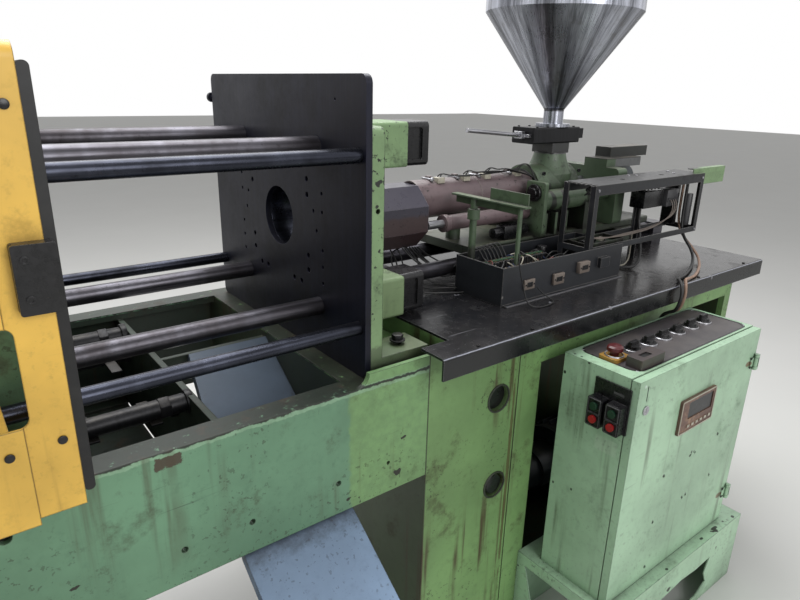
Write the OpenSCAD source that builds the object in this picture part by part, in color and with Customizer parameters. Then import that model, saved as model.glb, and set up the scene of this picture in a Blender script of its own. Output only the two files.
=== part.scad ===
// Horizontal injection moulding machine with a separate control cabinet.
// X runs along the machine, from the clamp to the injection unit.
// The operator stands at the low Y side. Lengths are in millimetres.
// Places are first counted from the fixed mould face, the near edge of the
// mould plate and the top of the bed, and place() then moves every part so that
// the origin lies on the floor, below the middle of the whole machine.

/* [Mould area] */
// Width of the fixed mould plate, across the machine
plate_w = 745; // [735:1:760]
// Height of the fixed mould plate
plate_h = 620; // [600:1:650]
// Thickness of both mould plates
plate_t = 14; // [10:1:18]
// Corner radius of plates and platens
plate_corner = 18; // [6:1:24]
// Hole for the nozzle in the fixed side
sprue_hole_d = 142; // [120:1:150]
// Height of the clamp and screw axis above the bed
axis_z = 295; // [290:1:300]
// Open distance between the two mould plates
daylight = 576; // [500:1:600]
// Travel of the moving platen
clamp_stroke = 300; // [200:1:310]
// Diameter of the four tie bars
tie_d = 42; // [36:1:46]
// Tie bar spacing across the machine
tie_pitch_y = 370; // [360:1:380]
// Tie bar spacing in height
tie_pitch_z = 360; // [350:1:364]
// Diameter of the four guard rods
guard_rod_d = 30; // [24:1:32]
// Guard rod spacing across the machine
guard_rod_pitch_y = 695; // [685:1:697]
// Guard rod spacing in height
guard_rod_pitch_z = 358; // [350:1:364]
// Diameter of the tapped mould fixing holes
fixing_hole_d = 13; // [8:1:16]

/* [Clamp] */
// Thickness of the fixed platen's front flange
flange_t = 30; // [24:1:40]
// Depth of the fixed platen's corner bosses behind the flange
boss_depth = 161; // [120:1:170]
// Width of the moving platen
moving_w = 600; // [570:1:604]
// Height of the moving platen
moving_h = 526; // [500:1:530]
// Thickness of the moving platen
moving_t = 166; // [140:1:180]
// Gap between the open moving platen and the rear platen
rear_gap = 534; // [500:1:600]
// Thickness of the rear platen
rear_platen_t = 140; // [120:1:160]
// Diameter of the clamp ram
ram_d = 150; // [120:1:160]
// Outer diameter of the clamp cylinder
cylinder_od = 300; // [280:1:310]
// Length of the clamp cylinder
cylinder_len = 470; // [440:1:500]
// Travel of the ejector
ejector_stroke = 60; // [30:1:64]
// Diameter of the two ejector rods
ejector_rod_d = 25; // [16:1:30]

/* [Bed and base] */
// Height of the bed's side beams
beam_h = 283; // [260:1:300]
// Width of the beam's flanges
beam_flange = 56; // [50:1:60]
// Thickness of the beam's web
beam_web = 14; // [10:1:18]
// How far the beam's outer face stands out from the mould plate's edge
beam_out = 31; // [28:1:34]
// Height of the bed's top above the floor
bed_top_h = 940; // [900:1:980]
// Height of the levelling feet
foot_h = 40; // [30:1:50]
// Length of the bed's rear pedestal
pedestal_len = 500; // [460:1:520]
// Width of the closed tank under the fixed platen
tank_len = 396; // [380:1:420]
// Length of the whole base under the injection unit
base_len = 1445; // [1430:1:1450]
// Length of the product chute from its top edge to its lip
chute_len = 790; // [760:1:800]
// Angle of the product chute
chute_tilt = 34.4; // [34:0.1:35]

/* [Table] */
// Height of the table sheet above the bed
table_z = 55; // [50:1:60]
// Thickness of the table sheet
table_t = 6; // [4:1:8]
// How far the table overhangs the base at the front
table_front = 79; // [70:1:85]
// How far the table overhangs the base at the rear
table_rear = 79; // [70:1:85]
// Depth of the table's folded front edge
table_lip = 52; // [40:1:60]
// Overhang of the table at the injection end
table_end = 15; // [12:1:25]

/* [Injection unit] */
// Outer diameter of the barrel
barrel_d = 84; // [76:1:88]
// Bore of the barrel
barrel_bore = 42; // [38:1:46]
// Outer diameter of the barrel covers
cover_d = 113; // [108:1:118]
// Distance from mould face to the rear of the barrel covers
cover_end = 870; // [860:1:876]
// Length of the nozzle cover
nozzle_cover_len = 158; // [150:1:165]
// Width and height of the octagonal nozzle cover
nozzle_cover_w = 170; // [160:1:176]
// Distance from the mould face to the hopper's axis
feed_x = 1000; // [990:1:1010]
// Diameter of the feed throat
throat_d = 56; // [50:1:58]
// Diameter of the carriage rails
rail_d = 45; // [40:1:50]
// Travel of the carriage towards the mould
nozzle_advance = 40; // [20:1:44]
// Travel of the carriage away from the mould
carriage_retract = 120; // [80:1:125]
// Travel of the screw
screw_stroke = 100; // [80:1:110]

/* [Hopper] */
// Diameter of the hopper's neck
neck_d = 64; // [62:1:72]
// Diameter of the hopper's top
hopper_d = 480; // [440:1:500]
// Height of the hopper's cone
cone_h = 286; // [260:1:300]
// Height of the straight rim above the cone
rim_h = 150; // [100:1:200]
// Thickness of the hopper's sheet
hopper_wall = 3; // [2:0.5:4]

/* [Guards] */
// Length of each sliding guard
guard_len = 900; // [860:1:920]
// Height of the guards above the bed
guard_h = 640; // [630:1:660]
// Depth of the guard's folded edges
guard_depth = 40; // [34:1:44]
// Thickness of the guard's sheet
guard_t = 3; // [2:0.5:4]
// Travel of the guards
guard_travel = 540; // [500:1:545]

/* [Control cabinet] */
// Width of the control cabinet
cab_w = 618; // [610:1:640]
// Depth of the control cabinet
cab_d = 218; // [214:1:224]
// Height of the control cabinet
cab_h = 660; // [640:1:680]
// How far the cabinet's top lies below the bed's top
cab_drop = 40; // [30:1:60]
// Thickness of the cabinet's sheet
cab_wall = 4; // [3:0.5:6]
// Distance between the selector knobs
knob_pitch = 72.5; // [70:0.5:74]
// Diameter of the selector knobs
knob_d = 42; // [38:1:46]

/* [Fits] */
// Clearance all round a bar or rod in its bore
bore_gap = 0.3; // [0.3:0.05:0.5]
// Gap between pieces that seat on or slide over each other
seat_gap = 0.3; // [0.25:0.05:0.4]

/* [Hidden] */
$fn = 48;
eps = 1;

// Middle of the mould plate across the machine
mid_y = plate_w / 2;
// Clamp side, counted from the fixed mould face towards -X
moving_face = -daylight;
moving_front = moving_face - plate_t;
moving_back = moving_front - moving_t;
rear_front = moving_back - rear_gap;
rear_back = rear_front - rear_platen_t;
clamp_end = rear_back - cylinder_len;
// Fixed side
flange_x = plate_t;
boss_x = flange_x + flange_t;
boss_end = boss_x + boss_depth;
// Bed and base
beam_y0 = -beam_out;
beam_y1 = plate_w + beam_out;
bed_x0 = rear_back - 220;
pedestal_x1 = bed_x0 + pedestal_len;
base_x0 = 155;
bay_x0 = base_x0 + tank_len;
base_x1 = base_x0 + base_len;
floor_z = -bed_top_h;
base_z = floor_z + foot_h;
base_top = table_z - table_t;
// Table
table_x0 = boss_end + 2;
table_strip_x0 = base_x0 - 29;
table_x1 = base_x1 + table_end;
table_y0 = beam_y0 - table_front;
table_y1 = beam_y1 + table_rear;
// Guards
guard_x1 = moving_face + 4;
guard_x0 = guard_x1 - guard_len;
guard_back = 60;
guard_face = guard_back + guard_depth;
// Cabinet
cab_x0 = 562;
cab_x1 = cab_x0 + cab_w;
plinth_x0 = cab_x0 - 27;
plinth_x1 = cab_x1 + 78;
plinth_y1 = beam_y0;
plinth_y0 = plinth_y1 - 317;
cab_y1 = plinth_y1 - 64;
cab_y0 = cab_y1 - cab_d;
cab_z1 = -cab_drop;
plinth_z1 = cab_z1 - cab_h;
plinth_h = plinth_z1 - floor_z;
// Overall middle
x_mid = (clamp_end + table_x1) / 2;
y_mid = (plinth_y0 + table_y1) / 2;

module place() translate([-x_mid, -y_mid, bed_top_h]) children();

// A block from its lowest corner to its highest
module block(a, b) translate(a) cube(b - a);

// A round bar along X
module bar_x(x0, x1, y, z, d) translate([x0, y, z]) rotate([0, 90, 0]) cylinder(d = d, h = x1 - x0);

// A round bar along Y
module bar_y(x, y0, y1, z, d) translate([x, y0, z]) rotate([-90, 0, 0]) cylinder(d = d, h = y1 - y0);

// A round bar upwards
module bar_z(x, y, z0, z1, d) translate([x, y, z0]) cylinder(d = d, h = z1 - z0);

// A flat outline in Y and Z, drawn out along X
module along_x(x0, x1) translate([x0, 0, 0]) rotate([90, 0, 90]) linear_extrude(x1 - x0) children();

// A flat outline in X and Z, drawn out along Y
module along_y(y0, y1) translate([0, y1, 0]) rotate([90, 0, 0]) linear_extrude(y1 - y0) children();

// A rectangle from corner a to corner b with round corners
module round_rect(a, b, r) {
    translate(a + [r, 0]) square([b[0] - a[0] - 2 * r, b[1] - a[1]]);
    translate(a + [0, r]) square([b[0] - a[0], b[1] - a[1] - 2 * r]);
    for (x = [a[0] + r, b[0] - r], y = [a[1] + r, b[1] - r])
        translate([x, y]) circle(r);
}

// The four tie bar places in Y and Z
function tie_spots() = [for (v = [-1, 1], w = [-1, 1])
    [mid_y + v * tie_pitch_y / 2, axis_z + w * tie_pitch_z / 2]];

// The four guard rod places in Y and Z
rod_drop = 4;
function rod_spots() = [for (v = [-1, 1], w = [-1, 1])
    [mid_y + v * guard_rod_pitch_y / 2, axis_z - rod_drop + w * guard_rod_pitch_z / 2]];

module tie_bores(x0, x1) for (p = tie_spots())
    bar_x(x0 - eps, x1 + eps, p[0], p[1], tie_d + 2 * bore_gap);

module rod_bores(x0, x1) for (p = rod_spots())
    bar_x(x0 - eps, x1 + eps, p[0], p[1], guard_rod_d + 2 * bore_gap);

// Mould fixing holes: four rectangles of four holes round the axis
fixing_grid = [[70, 140], [105, 140], [140, 105], [140, 70]];
module fixing_holes(x0, x1) for (g = fixing_grid, v = [-1, 1], w = [-1, 1])
    bar_x(x0, x1, mid_y + v * g[0], axis_z + w * g[1], fixing_hole_d);

// Bed: two channel beams, cross plates, two decks and a rear pedestal
chute_x0 = -306;
chute_x1 = -48;
cross_t = 14;
deck_t = 20;
mid_cross_x = pedestal_x1 + 450;
hook_bar_y = 392;
hook_bar_t = 12;
pan_t = 5;
module beam_profile() difference() {
    square([beam_flange, beam_h]);
    translate([beam_web, beam_web]) square([beam_flange, beam_h - beam_web - deck_t]);
}

module bed_beam() {
    difference() {
        along_x(bed_x0, base_x0) translate([beam_y0, -beam_h]) beam_profile();
        block([chute_x0 - 14, beam_y0 + beam_web, -beam_h - eps],
            [chute_x1 + 14, beam_y0 + beam_flange + eps, -beam_h + beam_web + eps]);
    }
}

// Sight and bolt holes in the near beam: distance along, height, diameter
beam_holes = [[-680, -60, 20], [-420, -212, 12], [-287, -213, 12], [-89, -207, 12], [43, -206, 8]];
raised_x0 = -40;
raised_h = 29;
raised_t = 12;
module clamp_bed() color([0.37, 0.53, 0.43]) place() {
    difference() {
        bed_beam();
        for (h = beam_holes) bar_y(h[0], beam_y0 - eps, beam_y0 + beam_web + eps, h[1], h[2]);
    }
    translate([0, plate_w, 0]) mirror([0, 1, 0]) bed_beam();
    for (x = [mid_cross_x, chute_x0 - seat_gap - cross_t, chute_x1 + seat_gap])
        block([x, beam_y0 + beam_web, -beam_h + beam_web], [x + cross_t, beam_y1 - beam_web, -deck_t]);
    block([chute_x0 - seat_gap, hook_bar_y, -40], [chute_x1 + seat_gap, hook_bar_y + hook_bar_t, -deck_t]);
    block([pedestal_x1 - eps, beam_y0 + beam_flange - eps, -beam_h],
        [chute_x0 - seat_gap - cross_t + eps, beam_y1 - beam_flange + eps, -beam_h + pan_t]);
    block([bed_x0, beam_y0 + beam_web, -beam_h], [pedestal_x1, beam_y1 - beam_web, 0]);
    block([chute_x1 + seat_gap, beam_y0 + beam_web, -deck_t], [base_x0, beam_y1 - beam_web, 0]);
    block([base_x0 - cross_t, beam_y0 + beam_web, -beam_h + beam_web],
        [base_x0, beam_y1 - beam_web, -deck_t]);
    along_y(beam_y0, beam_y0 + raised_t) difference() {
        translate([raised_x0, -deck_t]) square([base_x0 - raised_x0, raised_h + deck_t]);
        translate([raised_x0, raised_h]) circle(raised_h);
    }
    difference() {
        block([bed_x0, beam_y0, base_z], [pedestal_x1, beam_y1, -beam_h]);
        along_y(beam_y0 - eps, beam_y0 + 6) round_rect([bed_x0 + 60, base_z + 90], [pedestal_x1 - 60, -beam_h - 60], 16);
        block([bed_x0 + 70, beam_y0 - eps, base_z - eps], [pedestal_x1 - 70, beam_y1 + eps, base_z + 50]);
    }
}

// Base: closed tank at the left and an open pump bay at the right
bay_depth = 431;
frame_t = 20;
top_rail_h = 90;
sill_h = 70;
sight_x = 394;
sight_z = -151;
gauge_x = 403;
gauge_z = -414;
port_d = 70;
seam_x = 463;
module tank_base() color([0.44, 0.58, 0.36]) place() difference() {
    union() {
        block([base_x0, beam_y0, base_z], [bay_x0, beam_y1, 0]);
        block([table_x0, beam_y0, -deck_t], [base_x1, beam_y1, base_top]);
        block([base_x0, beam_y0, -deck_t], [table_x0, beam_y0 + raised_t, raised_h]);
        block([bay_x0 - eps, beam_y0, -top_rail_h], [base_x1, beam_y0 + frame_t, -deck_t + eps]);
        block([bay_x0 - eps, beam_y0 + bay_depth, base_z], [base_x1, beam_y1, -deck_t + eps]);
        block([base_x1 - 2 * frame_t, beam_y0, base_z], [base_x1, beam_y1, -deck_t + eps]);
        block([bay_x0 - eps, beam_y0, base_z], [base_x1, beam_y1, base_z + sill_h]);
    }
    bar_y(sight_x, beam_y0 - eps, beam_y0 + 60, sight_z, port_d);
    difference() {
        bar_y(gauge_x, beam_y0 - eps, beam_y0 + 30, gauge_z, port_d);
        bar_y(gauge_x, beam_y0 + 8, beam_y0 + 31, gauge_z, port_d - 14);
    }
    block([seam_x, beam_y0 - eps, base_z + 20], [seam_x + 3, beam_y0 + 4, 0]);
}

// Levelling feet: threaded stud on a round pad
foot_spots = [for (x = [bed_x0 + 60, pedestal_x1 - 60, base_x0 + 60, bay_x0 + 260, base_x1 - 60],
    y = [beam_y0 + 60, beam_y1 - 60]) [x, y]];
module foot() {
    cylinder(d1 = 110, d2 = 90, h = 14);
    cylinder(d = 24, h = foot_h);
    translate([0, 0, 18]) cylinder(d = 40, h = 12, $fn = 6);
}
module levelling_feet() color([0.2, 0.2, 0.2]) place() {
    for (p = foot_spots) translate([p[0], p[1], floor_z]) foot();
}

// Table: one folded sheet with a rounded front edge
fold_r = 7;
module fold_profile(y0, y1) {
    difference() {
        union() {
            translate([y0 + fold_r, table_z - table_t]) square([y1 - y0 - fold_r, table_t]);
            translate([y0, table_z - table_lip]) square([table_t, table_lip - fold_r]);
            translate([y0 + fold_r, table_z - fold_r]) circle(fold_r);
        }
        translate([y0 + table_t, table_z - table_lip - eps])
            square([fold_r * 3, table_lip - table_t + eps]);
    }
}
module table_top() color([0.13, 0.14, 0.17]) place() {
    along_x(table_x0, table_x1) fold_profile(table_y0, table_y1);
    along_x(table_strip_x0, table_x0 + eps) fold_profile(table_y0, beam_y0 - 2);
    block([table_x0, table_y1 - table_t, table_z - table_lip], [table_x1, table_y1, table_z - eps]);
    block([table_x1 - table_t, table_y0 + fold_r, table_z - table_lip], [table_x1, table_y1, table_z - eps]);
}

// Chute: tapered sheet with folded-down edges, hooked on the bed's cross bar
chute_t = 3;
chute_fold = 22;
chute_top_y = hook_bar_y - seat_gap - chute_fold * sin(chute_tilt);
chute_top_w = 200;
module chute_outline(grow) polygon([[chute_x1 - chute_top_w - grow, 0], [chute_x0 - grow, chute_len * 0.62],
    [chute_x0 - grow, chute_len], [chute_x1 + grow, chute_len], [chute_x1 + grow, 0]]);
module product_chute() color([0.5, 0.58, 0.68]) place()
    translate([0, chute_top_y, -beam_h - 3 + (chute_top_y - beam_y0 - beam_web) * tan(chute_tilt)])
    rotate([chute_tilt, 0, 0]) mirror([0, 1, 0]) difference() {
        translate([0, 0, -chute_fold]) linear_extrude(chute_fold) chute_outline(0);
        translate([0, -eps, -chute_fold - eps]) linear_extrude(chute_fold - chute_t + eps)
            polygon([[chute_x1 - chute_top_w + chute_t, 0], [chute_x0 + chute_t, chute_len * 0.62],
                [chute_x0 + chute_t, chute_len + 2 * eps], [chute_x1 - chute_t, chute_len + 2 * eps],
                [chute_x1 - chute_t, 0]]);
    }

// Fixed platen: flange, corner bosses, hub with nozzle bore, ribs and foot
boss_w = 112;
boss_h = 100;
hub_d = 240;
platen_top = axis_z + tie_pitch_z / 2 + boss_h / 2;
module fixed_platen() color([0.42, 0.56, 0.36]) place() difference() {
    union() {
        along_x(flange_x, boss_x) round_rect([0, 0], [plate_w, platen_top], plate_corner);
        for (p = tie_spots()) along_x(boss_x - eps, boss_end)
            round_rect([p[0] - boss_w / 2, p[1] - boss_h / 2], [p[0] + boss_w / 2, p[1] + boss_h / 2], 8);
        bar_x(boss_x - eps, boss_x + 70, mid_y, axis_z, hub_d);
        for (v = [-1, 1]) block([boss_x - eps, mid_y + v * tie_pitch_y / 2 - 14, axis_z - tie_pitch_z / 2],
            [boss_x + 60, mid_y + v * tie_pitch_y / 2 + 14, axis_z + tie_pitch_z / 2]);
        for (w = [-1, 1]) block([boss_x - eps, mid_y - tie_pitch_y / 2, axis_z + w * tie_pitch_z / 2 - 14],
            [boss_x + 60, mid_y + tie_pitch_y / 2, axis_z + w * tie_pitch_z / 2 + 14]);
        for (y = [0, plate_w - 90]) block([flange_x, y, 0], [175, y + 90, 41]);
    }
    translate([flange_x - eps, mid_y, axis_z]) rotate([0, 90, 0])
        cylinder(d = sprue_hole_d + 8, h = flange_t + 80);
    tie_bores(flange_x, boss_end);
    rod_bores(flange_x, boss_x);
    for (y = [45, plate_w - 45]) bar_z(120, y, -eps, 42, 18);
    bar_y(flange_x + flange_t / 2, -eps, 30, 362, 10);
}

// Fixed mould plate with nozzle hole, fixing holes, small side holes and an edge bolt
side_holes = [[204, 81], [204, 40], [204, -46], [204, -84], [204, -122], [168, 38], [180, -5]];
module fixed_mould_plate() color([0.14, 0.15, 0.18]) place() {
    difference() {
        along_x(0, plate_t) round_rect([0, 0], [plate_w, plate_h], plate_corner);
        bar_x(-eps, plate_t + eps, mid_y, axis_z, sprue_hole_d);
        tie_bores(0, plate_t);
        rod_bores(0, plate_t);
        fixing_holes(-eps, plate_t + eps);
        for (g = side_holes, v = [-1, 1])
            bar_x(-eps, plate_t + eps, mid_y + v * g[0], axis_z + g[1], 9);
        bar_x(-eps, 8, 110, plate_h - 48, 6);
    }
    bar_y(plate_t / 2, plate_w - eps, plate_w + 14, plate_h - 61, plate_t - 2);
    bar_y(plate_t / 2, plate_w + 14 - eps, plate_w + 24, plate_h - 61, plate_t + 12);
}

// Tie bars, run from the rear nuts into the front caps
nut_t = 70;
cap_len = 70;
cap_bore = 25;
module tie_bars() color([0.45, 0.43, 0.42]) place() {
    for (p = tie_spots()) bar_x(rear_back - nut_t - 10, boss_end + cap_bore - seat_gap, p[0], p[1], tie_d);
}

// Square front caps with a sunk face, and round rear nuts
cap_w = 90;
cap_h = 100;
module tie_cap() difference() {
    along_x(boss_end, boss_end + cap_len) round_rect([-cap_w / 2, -cap_h / 2], [cap_w / 2, cap_h / 2], 12);
    along_x(boss_end + cap_len - 8, boss_end + cap_len + eps)
        round_rect([-cap_w / 2 + 12, -cap_h / 2 + 12], [cap_w / 2 - 12, cap_h / 2 - 12], 6);
    for (m = [0, 1]) mirror([0, m, 0]) along_y(-cap_w / 2 - eps, -cap_w / 2 + 6)
        round_rect([boss_end + 8, -cap_h / 2 + 14], [boss_end + cap_len - 18, cap_h / 2 - 14], 6);
    bar_x(boss_end - eps, boss_end + cap_bore, 0, 0, tie_d + 2 * bore_gap);
}
module tie_bar_nuts() color([0.1, 0.1, 0.12]) place() {
    for (p = tie_spots()) translate([0, p[0], p[1]]) {
        tie_cap();
        difference() {
            bar_x(rear_back - nut_t, rear_back, 0, 0, 92);
            bar_x(rear_back - nut_t - eps, rear_back + eps, 0, 0, tie_d + 2 * bore_gap);
            for (a = [0:90:270]) rotate([a, 0, 0]) bar_x(rear_back - nut_t - eps, rear_back - 40, 0, 44, 14);
        }
    }
}

// Rear platen: pocketed block that carries the clamp cylinder
module rear_platen() color([0.37, 0.53, 0.43]) place() difference() {
    along_x(rear_back, rear_front) round_rect([0, 0], [plate_w, plate_h], plate_corner);
    tie_bores(rear_back, rear_front);
    rod_bores(rear_front - 90, rear_front);
    bar_x(rear_back - eps, rear_front + eps, mid_y, axis_z, ram_d + 2 * bore_gap);
    for (v = [-1, 1]) along_x(rear_back - eps, rear_back + 60)
        round_rect([mid_y + v * 265 - 45, axis_z - 95], [mid_y + v * 265 + 45, axis_z + 95], 20);
}

// Clamp cylinder: flanged barrel with an end cap and two oil ports
cyl_wall = 40;
cap_t = 40;
module clamp_cylinder() color([0.37, 0.53, 0.43]) place() {
    difference() {
        union() {
            bar_x(clamp_end, rear_back, mid_y, axis_z, cylinder_od);
            bar_x(rear_back - 36, rear_back, mid_y, axis_z, cylinder_od + 64);
            bar_x(clamp_end, clamp_end + cap_t, mid_y, axis_z, cylinder_od + 24);
            for (x = [clamp_end + 80, rear_back - 90])
                bar_z(x, mid_y, axis_z + cylinder_od / 2 - 20, axis_z + cylinder_od / 2 + 24, 50);
        }
        bar_x(clamp_end + cap_t, rear_back + eps, mid_y, axis_z, cylinder_od - 2 * cyl_wall);
        for (x = [clamp_end + 80, rear_back - 90])
            bar_z(x, mid_y, axis_z + cylinder_od / 2 - 50, axis_z + cylinder_od / 2 + 25, 22);
        for (a = [0:45:315]) translate([0, mid_y, axis_z]) rotate([a, 0, 0])
            bar_x(rear_back - 37, rear_back + eps, 0, cylinder_od / 2 + 16, 14);
    }
}

module guard_rods() color([0.35, 0.33, 0.33]) place() {
    for (p = rod_spots()) bar_x(rear_front - 80, boss_x - 4, p[0], p[1], guard_rod_d);
}

// Moving platen: ribbed block on two skids
skid_h = 55;
moving_z0 = axis_z - moving_h / 2;
module moving_platen() color([0.37, 0.53, 0.43]) place() difference() {
    union() {
        along_x(moving_back, moving_front) round_rect([mid_y - moving_w / 2, moving_z0],
            [mid_y + moving_w / 2, moving_z0 + moving_h], plate_corner);
        for (m = [0, 1]) translate([0, m * plate_w, 0]) mirror([0, m, 0])
            block([moving_back + 16, 3, seat_gap], [moving_front - 20, mid_y - moving_w / 2 + 60, skid_h]);
    }
    tie_bores(moving_back, moving_front);
    for (v = [-1, 1]) {
        along_x(moving_back - eps, moving_back + 110) round_rect([mid_y + v * 235 - 40, axis_z - 110],
            [mid_y + v * 235 + 40, axis_z + 110], 20);
        bar_x(moving_back - eps, moving_front + eps, mid_y + v * ejector_y, axis_z, ejector_rod_d + 2 * bore_gap);
    }
}
ejector_y = 150;

module moving_mould_plate() color([0.14, 0.15, 0.18]) place() difference() {
    along_x(moving_front, moving_face) round_rect([mid_y - moving_w / 2, moving_z0],
        [mid_y + moving_w / 2, moving_z0 + moving_h], plate_corner);
    tie_bores(moving_front, moving_face);
    fixing_holes(moving_front - eps, moving_face + eps);
    for (v = [-1, 1])
        bar_x(moving_front - eps, moving_face + eps, mid_y + v * ejector_y, axis_z, ejector_rod_d + 2 * bore_gap);
}

// Ram with its piston, guided in the rear platen
piston_t = 60;
module clamp_ram() color([0.6, 0.6, 0.62]) place() {
    bar_x(clamp_end + cap_t + 40, moving_back, mid_y, axis_z, ram_d);
    bar_x(clamp_end + cap_t + 40, clamp_end + cap_t + 40 + piston_t, mid_y, axis_z,
        cylinder_od - 2 * cyl_wall - 2 * bore_gap);
}

// Ejector: yoke round the ram with two rods through the moving platen
yoke_t = 20;
yoke_back = moving_back - ejector_stroke - 10 - yoke_t;
module ejector_yoke() color([0.5, 0.5, 0.5]) place() {
    difference() {
        along_x(yoke_back, yoke_back + yoke_t)
            round_rect([mid_y - 185, axis_z - 100], [mid_y + 185, axis_z + 100], 14);
        bar_x(yoke_back - eps, yoke_back + yoke_t + eps, mid_y, axis_z, ram_d + 8);
    }
    for (v = [-1, 1]) bar_x(yoke_back + yoke_t - eps, moving_face - 2, mid_y + v * ejector_y, axis_z, ejector_rod_d);
}

// Sliding guard: folded sheet on four bearing blocks, near side
slot_x1 = guard_x1 - 53;
block_len = 70;
block_spots = [guard_x1 - 148, rear_front + 30];
module guard_shell() difference() {
    union() {
        along_x(guard_x0, guard_x1) difference() {
            translate([-guard_face, 0]) {
                square([guard_depth, guard_h - guard_depth / 2]);
                translate([guard_depth / 2, guard_h - guard_depth / 2]) circle(guard_depth / 2);
            }
            translate([-guard_face + guard_t, guard_t]) {
                square([guard_depth, guard_h - guard_t - guard_depth / 2]);
                translate([guard_depth / 2 - guard_t, guard_h - guard_t - guard_depth / 2])
                    circle(guard_depth / 2 - guard_t);
            }
        }
        for (x = [guard_x0, guard_x1 - guard_t])
            block([x, -guard_face + 1, 1], [x + guard_t, -guard_back, guard_h - guard_depth / 2]);
        block([guard_x0, -guard_face - 2, -10], [guard_x1 - 62, -guard_face + 1, guard_h - guard_depth / 2 - 4]);
    }
    along_y(-guard_face - 3, -guard_face + guard_t + eps) round_rect([slot_x1 - 150, 146], [slot_x1, 291], 14);
}
module guard_blocks() for (p = [rod_spots()[0], rod_spots()[1]], x = block_spots) difference() {
    block([x, -guard_face + guard_t - eps, p[1] - 25], [x + block_len, p[0] + 25, p[1] + 25]);
    bar_x(x - eps, x + block_len + eps, p[0], p[1], guard_rod_d + 2 * bore_gap);
}
module sliding_guard() {
    guard_shell();
    guard_blocks();
}
module front_guard() color([0.87, 0.7, 0.3]) place() sliding_guard();
module rear_guard() color([0.87, 0.7, 0.3]) place() translate([0, plate_w, 0]) mirror([0, 1, 0]) sliding_guard();

// Rubber buffer on the guard's leading edge
module guard_edge_strip() color([0.1, 0.1, 0.11]) place()
    along_y(-guard_face + 3, -guard_back - 4)
        round_rect([guard_x1, 18], [guard_x1 + 15, guard_h - 22], 7);

// Latch box on the guard's face
latch_t = 20;
module guard_latch() color([0.1, 0.1, 0.11]) place() difference() {
    along_y(-guard_face - latch_t, -guard_face) round_rect([guard_x1 - 42, 309], [guard_x1 + 10, 402], 4);
    for (z = [330, 382]) bar_y(guard_x1 - 28, -guard_face - latch_t - eps, -guard_face - latch_t + 6, z, 8);
    block([guard_x1 - 62, -guard_face - 12, 308], [guard_x1 - 38, -guard_face - 8, 403]);
}

// Rails and their end blocks on the table
rail_y = 95;
rail_z = table_z + 57;
rail_x0 = 225;
rail_x1 = base_x1 - 60;
module carriage_rails() color([0.5, 0.5, 0.5]) place() {
    for (v = [-1, 1]) {
        bar_x(rail_x0 + 2, rail_x1 - 2, mid_y + v * rail_y, rail_z, rail_d);
        for (x = [rail_x0, rail_x1 - 60]) difference() {
            block([x, mid_y + v * rail_y - 40, table_z], [x + 60, mid_y + v * rail_y + 40, deck_z0 - 2]);
            bar_x(x + 2, x + 58, mid_y + v * rail_y, rail_z, rail_d);
        }
    }
}

// Carriage: base plate on four rail shoes, barrel post and ribbed side casting
deck_z0 = rail_z + 28;
deck_z1 = deck_z0 + 26;
carriage_x0 = 540;
carriage_x1 = 1450;
post_x = 580;
post_d = 44;
shoe_x = [760, 1240];
shoe_len = 110;
rib_x = [840, 890, 940];
feed_x0 = cover_end + 2;
feed_x1 = 1072;
module injection_carriage() color([0.38, 0.48, 0.34]) place() difference() {
    union() {
        along_x(carriage_x0, carriage_x1) round_rect([mid_y - 120, deck_z0], [mid_y + 120, deck_z1], 6);
        for (x = shoe_x, v = [-1, 1])
            block([x, mid_y + v * rail_y - 38, table_z + 26], [x + shoe_len, mid_y + v * rail_y + 38, deck_z0 + eps]);
        bar_z(post_x, mid_y, deck_z1 - eps, axis_z - cover_d / 2 + 14, post_d);
        block([feed_x0, mid_y - housing_r, deck_z1 - eps], [feed_x1, mid_y + housing_r, axis_z - housing_drop]);
        for (v = [-1, 1], x = rib_x)
            block([x, mid_y + v * 116 - 20, deck_z1 - eps], [x + 12, mid_y + v * 116 + 4, inj_z - inj_d / 2 - 2]);
        for (v = [-1, 1]) block([lug_x + 20, mid_y + v * 100 - 6, deck_z1 - eps], [980, mid_y + v * 100 + 6, 228]);
    }
    for (v = [-1, 1]) bar_x(carriage_x0 - eps, carriage_x1 + eps, mid_y + v * rail_y, rail_z, rail_d + 2 * bore_gap);
    bar_x(post_x - 40, post_x + 40, mid_y, axis_z, cover_d + 2 * seat_gap);
}

// Barrel with raised heater bands, feed slot and stepped front end
band_d = 100;
band_w = 70;
barrel_x0 = 330;
barrel_x1 = feed_x1 + 4;
module barrel() color([0.4, 0.38, 0.37]) place() difference() {
    union() {
        bar_x(barrel_x0, barrel_x1, mid_y, axis_z, barrel_d);
        for (x = [430:90:790]) bar_x(x, x + band_w, mid_y, axis_z, band_d);
    }
    bar_x(barrel_x0 + 60, barrel_x1 + eps, mid_y, axis_z, barrel_bore);
    bar_x(barrel_x0 - eps, barrel_x0 + 61, mid_y, axis_z, 16);
    bar_z(feed_x, mid_y, axis_z, axis_z + barrel_d, throat_d);
}

// Nozzle: hexagon, taper and ball tip with its channel
nozzle_tip = 60;
module nozzle() color([0.55, 0.53, 0.5]) place() translate([nozzle_tip, mid_y, axis_z]) rotate([0, 90, 0])
    difference() {
        union() {
            translate([0, 0, 60]) cylinder(d1 = 30, d2 = 56, h = 90);
            translate([0, 0, 149]) cylinder(d = 56, h = 71);
            translate([0, 0, 219]) cylinder(d = 70, h = barrel_x0 - nozzle_tip - 219, $fn = 6);
            translate([0, 0, 15]) cylinder(d = 30, h = 46);
            translate([0, 0, 15]) sphere(d = 30);
        }
        translate([0, 0, -eps]) cylinder(d = 5, h = barrel_x0);
    }

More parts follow.
